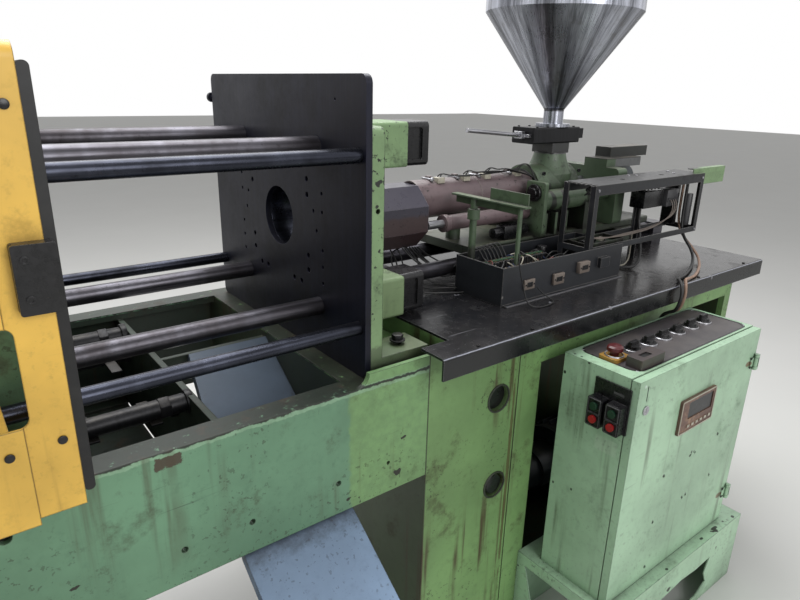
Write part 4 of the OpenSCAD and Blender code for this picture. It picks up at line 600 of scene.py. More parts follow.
def mix_paints(c):
    """Makes every shared finish from the chosen colours."""
    FINISHES["bed"] = worn_paint(
        "bed_paint", c.bed, c.grime, (0.15, 0.15, 0.12), stains=0.55, runs=0.5, chips=0.62, flakes=0.74,
        scratches=0.4, specks=0.5,
        zones=(({"x": (-55, None), "soft": 10, "ragged": 30}, c.base, 0.8),
               ({"y": (None, -26), "z": (-9, 5), "ragged": 18}, (0.55, 0.68, 0.56), 0.7),
               ({"z": (-2, 3), "ragged": 22}, (0.09, 0.10, 0.08), 0.95),
               # Painted shade inside the bed, between its beams
               ({"x": (-1640, 150), "y": (-20, 768), "z": (None, -5)}, INNER_SHADE, 0.9),
               ({"x": (-455, -411), "y": (None, -20), "z": (-31, -10), "ragged": 34},
                (0.25, 0.17, 0.13), 0.9)))
    FINISHES["base"] = worn_paint(
        "base_paint", c.base, c.grime, (0.22, 0.21, 0.15), stains=0.6, runs=0.9, chips=0.55, flakes=0.75,
        specks=0.6,
        patches=(((452, -31, -420), (6, None, 330), (0.30, 0.24, 0.13), 0.75),
                 ((438, -31, -560), (4, None, 200), (0.28, 0.22, 0.13), 0.6)),
        # Painted shade: the base's dark left side face, and the inside of its open bay
        zones=(({"x": (None, 157)}, (0.15, 0.16, 0.12), 0.8),
               ({"x": (551, 1595), "y": (-10, 770), "z": (None, -20)}, INNER_SHADE, 0.85)))
    FINISHES["platen"] = worn_paint(
        "platen_paint", c.platen, (0.13, 0.12, 0.10), (0.12, 0.13, 0.11), stains=0.6, runs=0.6, chips=0.66,
        # hole: painted shade inside the fixed platen's bore
        flakes=0.70, scratches=0.6, specks=1.0, corners=0.85, hole=78,
        zones=(({"z": (None, 60), "ragged": 50, "soft": 14}, (0.22, 0.21, 0.19), 0.6),
               ({"x": (118, None), "z": (None, 175), "ragged": 90, "soft": 20}, (0.44, 0.46, 0.36), 0.35)))
    FINISHES["casting"] = worn_paint(
        "casting_paint", c.casting, (0.12, 0.11, 0.09), (0.20, 0.20, 0.18), stains=0.9, runs=0.3, chips=0.6,
        flakes=0.70, roughness=0.42, corners=0.95, dust=0.35, specks=0.9,
        patches=(((868, 200, 200), (16, None, 120), (0.06, 0.06, 0.055), 0.9),
                 ((925, 200, 215), (22, None, 100), (0.07, 0.065, 0.06), 0.85),
                 ((1040, 200, 190), (30, None, 90), (0.07, 0.065, 0.06), 0.8),
                 ((985, 200, 330), (70, None, 26), (0.10, 0.11, 0.085), 0.25)),
        zones=(({"x": (936, 1064), "z": (404, None)}, (0.20, 0.18, 0.21), 0.85),
               ({"z": (None, 175), "ragged": 40, "soft": 16}, (0.15, 0.15, 0.13), 0.7)))
    FINISHES["crosshead"] = worn_paint(
        "crosshead_paint", c.casting, (0.12, 0.11, 0.10), (0.24, 0.23, 0.20), stains=0.8, runs=0.2, chips=0.6,
        flakes=0.72, roughness=0.42, corners=0.9, dust=0.4,
        zones=(({"x": (1232, None), "z": (353, 382)}, (0.40, 0.40, 0.41), 0.9),
               ({"z": (381.5, None)}, (0.055, 0.055, 0.06), 0.95)))
    FINISHES["plate"] = oiled_steel(
        "mould_plate_steel", c.plate, (0.05, 0.05, 0.065), "Z", 0.4, 0.65, 0.5, shine=1.0)
    FINISHES["table"] = worn_paint(
        "table_paint", c.table, (0.06, 0.055, 0.055), (0.42, 0.42, 0.44), stains=0.5, runs=0.1, chips=0.75,
        flakes=0.74, roughness=0.24, dust=0.3, dust_tint=(0.20, 0.19, 0.19), scratches=0.7,
        zones=(({"x": (900, None), "z": (50, None), "ragged": 200, "soft": 60}, (0.13, 0.122, 0.122), 0.7),
               ({"y": (None, -107.5), "z": (None, 51)}, (0.028, 0.036, 0.045), 0.75),
               # A painted highlight along the table's front edge
               ({"y": (None, -107.5), "z": (52.5, None), "ragged": 1.5, "soft": 1}, (0.62, 0.63, 0.68), 0.8)))
    FINISHES["bars"] = oiled_steel(
        "bar_steel", c.bars, (0.15, 0.13, 0.13), "X", 0.3, 0.7, bands=0.35, shine=0.3)
    FINISHES["rods"] = oiled_steel(
        "rod_steel", (0.22, 0.23, 0.27), (0.055, 0.055, 0.07), "X", 0.24, 0.7, bands=0.3, shine=0.3)
    FINISHES["bright"] = oiled_steel("bright_steel", (0.66, 0.66, 0.68), (0.35, 0.32, 0.28), "X", 0.25, 0.4)
    FINISHES["black_steel"] = oiled_steel(
        "black_steel", (0.12, 0.12, 0.13), (0.06, 0.055, 0.055), "Z", 0.38, 0.5, 0.6, dust=0.25)
    FINISHES["guard"] = worn_paint(
        "guard_paint", c.guard, (0.35, 0.24, 0.10), (0.35, 0.27, 0.16), stains=0.3, runs=0.35, chips=0.5,
        flakes=0.87, roughness=0.4, corners=0.5, specks=0.1)
    FINISHES["chute"] = worn_paint(
        "chute_paint", c.chute, (0.30, 0.31, 0.33), (0.20, 0.21, 0.23), stains=0.35, runs=0.2, chips=0.62,
        flakes=0.76, roughness=0.5, corners=0.3, scratches=0.6,
        # Painted shade on the chute's upper part, where it lies inside the bed
        zones=(({"z": (-283, None), "ragged": 60, "soft": 40}, (0.17, 0.21, 0.25), 0.8),))
    FINISHES["covers"] = worn_paint(
        "barrel_cover_sheet", c.covers, (0.14, 0.11, 0.10), (0.60, 0.56, 0.54), stains=0.9, runs=0.3,
        chips=0.5, flakes=0.74, roughness=0.34, scratches=0.7, specks=0.9, dust=0.5,
        dust_tint=(0.55, 0.53, 0.52))
    FINISHES["nozzle_cover"] = worn_paint(
        "nozzle_cover_sheet", (0.22, 0.21, 0.25), (0.11, 0.09, 0.10), (0.55, 0.53, 0.56), stains=0.5,
        runs=0.1, chips=0.66, flakes=0.75, roughness=0.3, scratches=0.7,
        zones=(({"z": (None, 262), "ragged": 30, "soft": 12}, (0.25, 0.18, 0.16), 0.7),))
    FINISHES["rack"] = worn_paint(
        "rack_paint", c.rack, (0.08, 0.07, 0.07), (0.44, 0.43, 0.42), stains=0.3, runs=0.1, chips=0.70,
        flakes=0.76, roughness=0.38, dust=0.12, dust_tint=(0.25, 0.24, 0.23),
        zones=(({"x": (1090, None), "z": (340, None)}, (0.045, 0.045, 0.055), 0.7),
               ({"x": (None, 1100), "z": (None, 160)}, (0.17, 0.18, 0.20), 0.55),
               ({"x": (1384, None), "y": (None, 76), "z": (345.5, None)}, c.platen, 0.95),
               ({"x": (1445.5, None), "z": (300, None)}, c.platen, 0.95),
               # A painted highlight along the terminal box's front flange, just above the table
               ({"x": (None, 1000), "y": (None, 46), "z": (None, 59), "ragged": 2}, (0.50, 0.50, 0.53), 0.7)))
    FINISHES["motor"] = worn_paint(
        "motor_paint", (0.17, 0.21, 0.23), (0.08, 0.07, 0.07), (0.40, 0.40, 0.38), stains=0.7, runs=0.2,
        chips=0.5, flakes=0.75, roughness=0.45, dust=0.4)
    chips = [((x, CABINET_FRONT, z), (wide, None, high), PRIMER, 0.95) for x, z, wide, high in (
        (892, -348, 4, 5), (906, -352, 3, 4), (886, -358, 5, 4), (885, -494, 4, 4), (904, -492, 3, 5),
        (755, -371, 5, 5), (1034, -477, 4, 4), (1035, -340, 4, 6), (740, -513, 4, 6), (741, -664, 5, 5))]
    marks = [((CABINET_SIDE, y, z), (None, wide, high), PRIMER, 0.95) for y, z, wide, high in (
        (-101, -95, 4, 5), (-169, -44, 4, 3), (-165, -418, 3, 4), (-105, -429, 3, 4))]
    hinges = [((x, CABINET_FRONT, z), (16, None, 9), RUST, 0.8) for x, z in ((1142, -146), (1136, -596))]
    lock = [((588, CABINET_FRONT, -58), (4, None, 4), (0.78, 0.84, 0.80), 0.9)]
    bare = [((x, y, -700), (wide, deep, None), PRIMER, 0.95) for x, y, wide, deep in (
        (1114, -331, 16, 6), (1034, -331, 8, 4), (1170, -331, 5, 4), (1220, -338, 7, 6), (825, -338, 6, 4))]
    FINISHES["cabinet"] = worn_paint(
        "cabinet_paint", c.cabinet, DUSTY_GREEN, (0.13, 0.15, 0.12), stains=0.28, runs=0.6, chips=0.58,
        flakes=0.78, roughness=0.36, edge=0.002, corners=0.6, specks=0.25, scratches=0.2,
        zones=(({"x": (None, 563), "y": (-277, -216), "z": (-261, -223), "ragged": 3},
                (0.72, 0.80, 0.72), 0.4),),
        patches=hinges + lock + chips + marks)
    FINISHES["plinth"] = worn_paint(
        "plinth_paint", c.cabinet, DUSTY_GREEN, (0.13, 0.15, 0.12), stains=0.3, runs=0.4, chips=0.66,
        flakes=0.72, roughness=0.36, edge=0.003, corners=0.6, specks=0.5, patches=bare,
        zones=(({"z": (-702, -698)}, (0.70, 0.81, 0.71), 0.6),))
    for name, label, colour, dust, dusty, roughness, settled in (
            ("panel", "panel_overlay", c.panel, (0.36, 0.34, 0.33), 0.5, 0.38, 0.3),
            ("display", "display_frame", c.display, (0.68, 0.55, 0.44), 0.75, 0.45, 0.0),
            ("glass", "display_glass", (0.02, 0.026, 0.04), (0.07, 0.08, 0.09), 0.1, 0.3, 0.0),
            ("port", "sight_glass", (0.03, 0.03, 0.035), (0.12, 0.12, 0.12), 0.2, 0.3, 0.0),
            ("black", "black_moulding", (0.045, 0.045, 0.055), (0.30, 0.29, 0.30), 0.1, 0.28, 0.15),
            ("rubber", "black_rubber", (0.035, 0.035, 0.04), (0.25, 0.24, 0.23), 0.2, 0.5, 0.2),
            ("mushroom", "red_mushroom", c.mushroom, (0.40, 0.22, 0.20), 0.3, 0.3, 0.0),
            ("green_button", "green_button", (0.05, 0.19, 0.12), (0.20, 0.25, 0.20), 0.3, 0.3, 0.0),
            ("red_button", "red_button", (0.60, 0.09, 0.10), (0.45, 0.25, 0.22), 0.25, 0.3, 0.0),
            ("white", "white_moulding", (0.70, 0.68, 0.62), (0.30, 0.27, 0.23), 0.6, 0.5, 0.0),
            ("cream", "cream_moulding", (0.46, 0.42, 0.39), (0.30, 0.26, 0.24), 0.5, 0.45, 0.0),
            ("grey", "grey_moulding", (0.27, 0.27, 0.28), (0.20, 0.19, 0.18), 0.4, 0.4, 0.4),
            ("board", "green_board", (0.11, 0.27, 0.18), (0.25, 0.27, 0.20), 0.4, 0.4, 0.4),
            ("blue_wire", "blue_wire", (0.14, 0.20, 0.33), (0.25, 0.24, 0.22), 0.3, 0.45, 0.0),
            ("red_wire", "red_wire", (0.40, 0.12, 0.10), (0.25, 0.21, 0.19), 0.3, 0.45, 0.0),
            ("tan_cable", "tan_cable", (0.58, 0.47, 0.40), (0.30, 0.23, 0.19), 0.45, 0.5, 0.0)):
        FINISHES[name] = moulded(label, colour, dust, dusty, roughness, settled=settled)
    FINISHES["counter"] = moulded(
        "counter_moulding", c.collar, (0.30, 0.25, 0.18), 0.4, 0.42,
        tints=(({"y": (None, -225)}, (0.24, 0.21, 0.21)),
               ({"x": (645, 685), "y": (-265, -245), "z": (None, -17)}, (0.03, 0.03, 0.04))))
    FINISHES["copper"] = oiled_steel("stained_brass", (0.42, 0.35, 0.26), (0.15, 0.12, 0.09), "Z", 0.4, 0.6)
    FINISHES["hopper"] = brushed_sheet("hopper_sheet", (0.68, 0.69, 0.73), (1000, AXIS_Y))


class PieceOperator:
    """What every operator here shares."""

    bl_options = {"REGISTER", "UNDO"}

    @classmethod
    def poll(cls, context):
        return context.scene is not None


class MACHINE_OT_finishes(PieceOperator, bpy.types.Operator):
    """Mix the paints, metals and plastics from the chosen colours"""

    bl_idname = "machine.finishes"
    bl_label = "Finishes"

    def execute(self, context):
        mix_paints(context.scene.machine_colours)
        return {"FINISHED"}


class MACHINE_OT_bed(PieceOperator, bpy.types.Operator):
    """Dress the bed, the base, the feet, the table and the chute"""

    bl_idname = "machine.bed"
    bl_label = "Bed, base and table"

    def execute(self, context):
        dress(finish("bed"), "clamp_bed")
        dress(finish("base"), "tank_base")
        dress(finish("black_steel"), "levelling_feet")
        dress(finish("table"), "table_top")
        dress(finish("chute"), "product_chute")
        dress(finish("motor"), "pump_motor")
        self.fit_ports()
        self.fit_pump_lines()
        self.fit_bay_pipes()
        self.fit_table_screws()
        return {"FINISHED"}

    def fit_ports(self):
        """The oil sight glass and the level gauge in the tank's front."""
        bm = bmesh.new()
        add_drum(bm, at(394, -10, -151), NEAR, 69, 8, 40, bevel=0)
        add_drum(bm, at(403, -26, -414), NEAR, 54, 3, 40, bevel=0.0005)
        show("port_glasses", bm, finish("port"))
        bm = bmesh.new()
        for x, z in ((394, -151), (403, -414)):
            add_turned(bm, ((35.2, 0), (35.2, 3), (38.5, 3.6), (40, 1.5), (40, 0)), at(x, -31, z), NEAR, 48)
            for across, up in round_circle(4, 37.6, 45):
                add_drum(bm, at(x + across, -34, z + up), NEAR, 4, 1.2, 12, bevel=0)
        show("port_rings", bm, finish("casting"))

    def fit_pump_lines(self):
        """A hose of the pump in the open bay, with its two unions."""
        bm = bmesh.new()
        add_turned(bm, UNION, at(790, 219, -580), UP, 24)
        add_turned(bm, UNION, at(552, 300, -500), RIGHT, 24)
        show("pump_unions", bm, finish("copper"))
        lines = [route((
            (790, 219, -550), (790, 219, -500), (770, 235, -430), (700, 270, -440), (640, 300, -490),
            (580, 300, -500)), 8)]
        harness("pump_hose", lines, 28, finish("rubber"))

    def fit_bay_pipes(self):
        """Oil pipes and a cable duct that run along the bed, under the bars."""
        pipes, ends = bmesh.new(), bmesh.new()
        for y, z, width, end in ((200, -40, 40, -318), (268, -88, 24, -330), (640, -34, 46, -330),
                                 (566, -60, 30, -345), (500, -110, 24, -345)):
            add_rod(pipes, at(-690, y, z), at(end, y, z), width, 24)
            add_drum(ends, at(end - 6, y, z), RIGHT, width * 1.3, 14, 24)
            add_drum(ends, at(end - 60, y, z), RIGHT, width * 1.18, 22, 6)
        for x in (-640, -520, -400):
            add_block(ends, (x, 180, -66), (x + 24, 292, -61), 0.001)
            add_block(ends, (x, 480, -66), (x + 24, 664, -61), 0.001)
        show("bed_pipes", pipes, finish("black_steel"))
        show("pipe_fittings", ends, finish("black_steel"))

    def fit_table_screws(self):
        """Socket screws that hold the table down."""
        bm = bmesh.new()
        for x in (240, 420, 1200, 1500):
            add_socket_screw(bm, at(x, -96, TABLE_TOP), UP, 9, 3)
        for x in (300, 760, 1560):
            add_socket_screw(bm, at(x, 700, TABLE_TOP), UP, 9, 3)
        show("table_screws", bm, finish("black_steel"))


class MACHINE_OT_clamp(PieceOperator, bpy.types.Operator):
    """Dress the platens, bars, rods, ram, cylinder and ejector"""

    bl_idname = "machine.clamp"
    bl_label = "Clamp"

    def execute(self, context):
        dress(finish("platen"), "fixed_platen")
        dress(finish("bed"), "rear_platen", "clamp_cylinder", "moving_platen")
        dress(finish("plate"), "fixed_mould_plate", "moving_mould_plate")
        dress(finish("bars"), "tie_bars")
        dress(finish("rods"), "guard_rods")
        dress(finish("black"), "tie_bar_nuts")
        dress(finish("bright"), "clamp_ram", "ejector_yoke")
        self.fit_bolts()
        self.fit_sleeve()
        return {"FINISHED"}

    def fit_bolts(self):
        """Bolts of the fixed platen's feet and of the clamp cylinder's flange."""
        bm = bmesh.new()
        for y in (45, 700):
            add_hex_bolt(bm, at(120, y, 49), UP, 24, 15)
        show("platen_bolts", bm, finish("black_steel"))
        bm = bmesh.new()
        for across, up in round_circle(12, 166, 15):
            add_hex_bolt(bm, at(-1462, AXIS_Y + across, AXIS_Z + up), LEFT, 20, 13)
        show("cylinder_bolts", bm, finish("black_steel"))

    def fit_sleeve(self):
        """The bright sleeve that lines the fixed platen's hole."""
        bm = bmesh.new()
        add_turned(bm, ((74.4, 15), (72, 15), (71.6, 16), (71.6, 82), (72, 84), (74.4, 84)),
                   at(0, AXIS_Y, AXIS_Z), RIGHT, 64)
        show("platen_sleeve", bm, finish("rods"))


class MACHINE_OT_guards(PieceOperator, bpy.types.Operator):
    """Dress the sliding guards"""

    bl_idname = "machine.guards"
    bl_label = "Guards"

    def execute(self, context):
        dress(finish("guard"), "front_guard", "rear_guard")
        dress(finish("rubber"), "guard_edge_strip")
        dress(finish("black"), "guard_latch")
        head = context.scene.machine_sizes.screw_head * 1000
        bm = bmesh.new()
        for x, y, z in ((-591, -100, 568), (-590, -100, 114), (-656, -102, 109), (-656, -102, 575)):
            add_drum(bm, at(x, y, z), NEAR, head * 1.3, 3.2, 20, bevel=0.001)
        for z in (330, 382):
            add_socket_screw(bm, at(-600, -118.5, z), NEAR, 11, 3.5)
        show("guard_screws", bm, finish("black"), "front_guard")
        return {"FINISHED"}


class MACHINE_OT_injection(PieceOperator, bpy.types.Operator):
    """Dress the injection unit and wire its heaters"""

    bl_idname = "machine.injection"
    bl_label = "Injection unit"

    def execute(self, context):
        dress(finish("casting"), "injection_carriage", "feed_housing", "switch_rail")
        dress(finish("crosshead"), "screw_crosshead")
        dress(finish("bars"), "barrel", "nozzle", "carriage_rails")
        dress(finish("bright"), "screw", "slide_gate")
        dress(finish("nozzle_cover"), "nozzle_cover")
        dress(finish("covers"), "barrel_covers")
        dress(finish("casting"), "injection_cylinders")
        dress(finish("motor"), "screw_motor")
        dress(finish("black_steel"), "slide_gate_housing")
        dress(finish("hopper"), "hopper", "hopper_lid")
        self.fit_clips()
        self.fit_gate_screws()
        self.lay_heater_wires()
        self.fit_oil_lines()
        return {"FINISHED"}

    def fit_clips(self):
        """Screws and terminal blocks of the heater bands' clips."""
        screws, blocks = bmesh.new(), bmesh.new()
        for x in CLIPS:
            add_rod(screws, at(x, AXIS_Y - 20, 352), at(x, AXIS_Y + 20, 352), 7, 12)
            add_drum(screws, at(x, AXIS_Y - 20, 352), NEAR, 13, 6, 6, bevel=0.0005)
            add_block(blocks, (x + 14, AXIS_Y - 34, 341), (x + 40, AXIS_Y - 8, 357), 0.0012)
            for y in (AXIS_Y - 27, AXIS_Y - 15):
                add_drum(screws, at(x + 27, y, 356.5), UP, 7, 2.4, 12, bevel=0)
        show("clip_screws", screws, finish("bright"), "carriage")
        show("heater_terminals", blocks, finish("white"), "carriage")

    def fit_gate_screws(self):
        """Screws of the slide gate and of the feed casting."""
        bm = bmesh.new()
        for x in (880, 930, 1035, 1060):
            add_socket_screw(bm, at(x, 334, 487), UP, 8, 3)
            add_socket_screw(bm, at(x, 410, 487), UP, 8, 3)
        for x in (884, 1060):
            for z in (300, 350):
                add_socket_screw(bm, at(x, 296.5, z), NEAR, 12, 6)
        show("gate_screws", bm, finish("black_steel"), "carriage")

    def lay_heater_wires(self):
        """Wires from the heater bands, tied along the barrel and led down to the deck."""
        rng = random.Random(7)
        lines = []
        for n, x in enumerate(int(clip) for clip in CLIPS):
            for side in (0, 12):
                up, out = 362 + 3.6 * n, AXIS_Y - 30 - 4 * n + side * 0.4
                lines.append(route((
                    (x + 27, AXIS_Y - 27 + side, 358.5), (x + 34, out, up + 5), (x + 60, out - 4, up),
                    *((way, out - 6 + rng.uniform(-2, 2), up - 3 + rng.uniform(-3, 3))
                      for way in range(x + 110, 830, 70)),
                    (850, AXIS_Y - 62 - 3 * n, 338), (860, AXIS_Y - 78 - 3 * n, 290),
                    (858, AXIS_Y - 84 - 3 * n, 230), (852 + side, AXIS_Y - 90 - 3 * n, 168)), 6))
        harness("heater_wires", lines, 3.4, finish("rubber"), "carriage")
        loops = []
        for k, (x, y, reach) in enumerate(((300, 300, 60), (341, 330, 46), (380, 310, 74), (322, 345, 90))):
            sag = rng.uniform(-8, 8)
            loops.append(route((
                (330 + 14 * k, 372 - 12 * k, 178), (x + 20, y + 20, 150), (x + 14, y - 20, 104 + sag),
                (x + reach, y - 50, 66), (x + reach + 60, y - 82 - 8 * k, 61 + 3.8 * k),
                (x + reach + 120, y - 100 - 8 * k, 61 + 3.8 * k), (480 + 8 * k, 215, 100),
                (500 + 10 * k, 205, 150)), 8))
        for k in range(7):
            sag = rng.uniform(-14, 14)
            loops.append(route((
                (352 + 6 * k, 336 - 5 * k, 176), (392 + 10 * k, 312, 126 + sag),
                (450 + 12 * k, 268, 92 + sag), (520 + 14 * k, 246, 150 + k),
                (540 + 15 * k, 238, 166 + k), (552 + 15 * k, 222, 156), (556 + 15 * k, 200, 118)), 8))
        wires = harness("nozzle_wires", loops, 4.2, finish("rubber"), body=None)
        at(360, 330, 172)
        at(360, 300, 62)
        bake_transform(wires)

    def fit_oil_lines(self):
        """Unions and flanges of the injection cylinders, the pull cylinder and its rod, and an oil valve."""
        bm = bmesh.new()
        for y in (260.5, 484.5):
            for x in (850, 1040):
                add_turned(bm, ((0, 0), (13, 0), (13, 9), (9, 10), (9, 20), (0, 20)), at(x, y, 303), UP, 16)
        show("oil_unions", bm, finish("copper"), "carriage")
        bm = bmesh.new()
        add_rod(bm, at(410, *PULL_AXIS), at(474, *PULL_AXIS), 24, 24)
        show("pull_rod", bm, finish("bright"), "carriage")
        bm = bmesh.new()
        add_drum(bm, at(472, *PULL_AXIS), RIGHT, 44, 340, 32)
        add_drum(bm, at(466, *PULL_AXIS), RIGHT, 50, 16, 32)
        show("pull_cylinder", bm, finish("covers"), "carriage")
        bm = bmesh.new()
        add_block(bm, (690, 262, 166), (772, 300, 208), 0.003)
        add_drum(bm, at(690, 281, 188), LEFT, 30, 34, 24)
        add_drum(bm, at(772, 281, 188), RIGHT, 30, 30, 24)
        show("oil_valve", bm, finish("black"), "carriage")
        bm = bmesh.new()
        for y in (262, 482):
            add_turned(bm, ((0, 15), (14, 15), (15, 13.5), (15, 9), (25, 9), (26, 7.5), (26, 0)),
                       at(812, y, 300), LEFT, 32)
            for across, up in round_circle(4, 20, 45):
                add_socket_screw(bm, at(803.2, y + across, 300 + up), LEFT, 7, 3)
        show("cylinder_flanges", bm, finish("black"), "carriage")


class MACHINE_OT_electrics(PieceOperator, bpy.types.Operator):
    """Dress the terminal box and the instrument rack and wire them"""

    bl_idname = "machine.electrics"
    bl_label = "Terminal box and rack"

    def execute(self, context):
        dress(finish("rack"), "terminal_box", "instrument_rack")
        self.fit_rack()
        self.fit_terminals(context.scene.machine_sizes.wire * 1000)
        self.fit_sockets()
        return {"FINISHED"}

    def fit_rack(self):
        """Relays, a terminal strip and cables behind the instrument rack's frame."""
        bm = bmesh.new()
        add_block(bm, (1188, 118, 236), (1300, 172, 292), 0.003)
        add_block(bm, (1394, 120, 163), (1410, 172, 300), 0.002)
        add_block(bm, (1040, 130, 300), (1150, 172, 340), 0.003)
        show("rack_relays", bm, finish("black"))
        bm = bmesh.new()
        add_block(bm, (1316, 112, 233), (1385, 172, 290), 0.002)
        for x in range(1320, 1384, 8):
            add_block(bm, (x, 108, 248), (x + 5, 112.5, 262), 0.0005, 1)
        add_drum(bm, at(1428, 96, 163), UP, 26, 110, 24)
        show("rack_terminals", bm, finish("grey"))
        bm = bmesh.new()
        for x, y in ((1127, 150), (1155, 140), (1328, 110), (1360, 150)):
            add_drum(bm, at(x, y, 345), UP, 9, 2.5, 16, bevel=0.0004)
        for x in (850, 1432):
            for z in (154, 330):
                add_socket_screw(bm, at(x, 62, z), NEAR, 8, 2.5)
        show("rack_screws", bm, finish("bright"))
        rows = []
        for k in range(5):
            rows.append(route((
                (1200 + 20 * k, 130, 294), (1196 + 22 * k, 122, 316 + 2 * k),
                (1140 + 12 * k, 128 + 4 * k, 330), (1040, 132 + 5 * k, 328), (950 - 12 * k, 140, 322),
                (900 + 9 * k, 144, 302)), 8))
        harness("rack_wires_black", rows, 4.4, finish("rubber"))
        rows = []
        for k in range(3):
            rows.append(route((
                (1330 + 14 * k, 106, 256), (1334 + 12 * k, 98, 232), (1318 + 6 * k, 100, 200),
                (1220, 96 + 5 * k, 176), (1080, 92 + 5 * k, 170 + k), (980 - 14 * k, 96, 172),
                (930 - 12 * k, 100, 178)), 8))
        harness("rack_wires_pale", rows, 4.0, finish("cream"))
        rows = [route((
            (1172, 120, 238), (1172, 118, 200), (1168, 104, 150), (1150, 84, 100), (1120, 74, 72),
            (1090, 84, 62), (1046, 138, 61), (1016, 170, 72), (1001, 180, 96)), 8)]
        harness("rack_lead", rows, 9.0, finish("rubber"))

    def fit_terminals(self, wire):
        """The crowded inside of the terminal box: wires, strips, a board and a capacitor."""
        rng = random.Random(11)
        sets = {"white": [], "blue_wire": [], "red_wire": [], "rubber": []}
        for row_y, reach in zip(TERMINAL_ROWS, (32, -34)):
            for k in range(TERMINALS):
                x = FIRST_TERMINAL + TERMINAL_STEP * k
                for side in (-1, 1):
                    tone = rng.choice(("white", "white", "rubber", "blue_wire", "red_wire"))
                    far = row_y + reach * side * rng.uniform(0.6, 1.15)
                    far = min(max(far, 68), 226)
                    along = x + rng.uniform(-60, 60)
                    top = rng.uniform(122, 146)
                    sets[tone].append(route((
                        (x, row_y + side * 12, 132), (x + 2, (row_y + far) / 2, top),
                        (along * 0.5 + x * 0.5, far, top - 18), (along, far + rng.uniform(-5, 5), 96),
                        (along + rng.uniform(-30, 30), far, 66)), 6))
        for tone, lines in sets.items():
            harness("box_wires_" + tone, lines, wire if tone != "rubber" else wire * 1.25, finish(tone))
        loops = []
        for k in range(9):
            x, y = rng.uniform(600, 830), rng.uniform(120, 210)
            loops.append(route((
                (x, y, 70), (x + 8, y - 6, 110), (x + 30, y - 14, 138 + rng.uniform(-6, 6)),
                (x + 70, y - 10 + rng.uniform(-20, 20), 134), (x + 96, y - 24, 112),
                (x + 100, y - 30, 68)), 8))
        harness("box_loops", loops, wire, finish("rubber"))
        bm = bmesh.new()
        for row_y in TERMINAL_ROWS:
            add_block(bm, (534, row_y - 5, 137), (772, row_y + 5, 139.5), 0.0005, 1)
        add_block(bm, (864, 84, 152), (1034, 156, 154), 0.0004, 1)
        show("green_board", bm, finish("board"))
        bm = bmesh.new()
        for low, high in TRAY:
            add_block(bm, low, high, 0.0005, 1)
        show("board_tray", bm, finish("casting"))
        bm = bmesh.new()
        for k in range(TERMINALS):
            for row_y in (94, 112, 174, 192):
                add_drum(bm, at(FIRST_TERMINAL + 4 + TERMINAL_STEP * k, row_y, 137), UP, 7, 1.6, 12, bevel=0)
        for x, y in ((878, 90), (1020, 90), (878, 150), (1020, 150)):
            add_drum(bm, at(x, y, 154), UP, 5, 2, 12, bevel=0)
        show("terminal_screws", bm, finish("copper"))
        bm = bmesh.new()
        add_drum(bm, at(812, 214, 60), UP, 30, 84, 24, bevel=0.002)
        for k in range(5):
            add_block(bm, (886 + 24 * k, 94, 154), (902 + 24 * k, 112, 160), 0.0008, 1)
        add_block(bm, (900, 124, 154), (960, 148, 164), 0.001)
        show("board_parts", bm, finish("black"))
        bm = bmesh.new()
        add_block(bm, (676, 190, 118), (700, 206, 136), 0.001)
        add_block(bm, (980, 124, 154), (1010, 148, 162), 0.0008)
        add_block(bm, (716, 136, 60), (770, 150, 112), 0.001)
        show("white_plugs", bm, finish("white"))

    def fit_sockets(self):
        """Plug sockets in the box's front and the leads that leave it."""
        bodies, fronts = bmesh.new(), bmesh.new()
        for low, high, front, foot, top in SOCKETS:
            add_block(bodies, (low, front, foot), (high, 57.2, top), 0.0022)
            middle = (foot + top) / 2
            for x in (low + 5, high - 5):
                add_drum(fronts, at(x, front, middle), NEAR, 5, 1.2, 12, bevel=0)
            add_block(fronts, (low + 10, front - 0.8, middle - 7), (high - 10, front + 1, middle + 7),
                      0.0005, 1)
        show("box_sockets", bodies, finish("cream"))
        show("socket_fronts", fronts, finish("black"))
        line = route((
            (1001, 226, 100), (1040, 222, 72), (1088, 212, 61), (1076, 176, 60), (1048, 140, 60),
            (1064, 112, 60), (1100, 114, 60), (1137, 123, 60), (1160, 128, 80), (1162, 130, 158)), 8)
        harness("white_lead", [line], 4.0, finish("white"))
        line = route((
            (503, 38, 200), (505, 32, 163), (516, 24, 110), (524, 10, 70), (548, -4, 58), (594, -6, 58),
            (622, 6, 58), (626, 24, 62), (610, 36, 76), (596, 43, 92)), 8)
        harness("thin_lead", [line], 3.4, finish("rubber"))


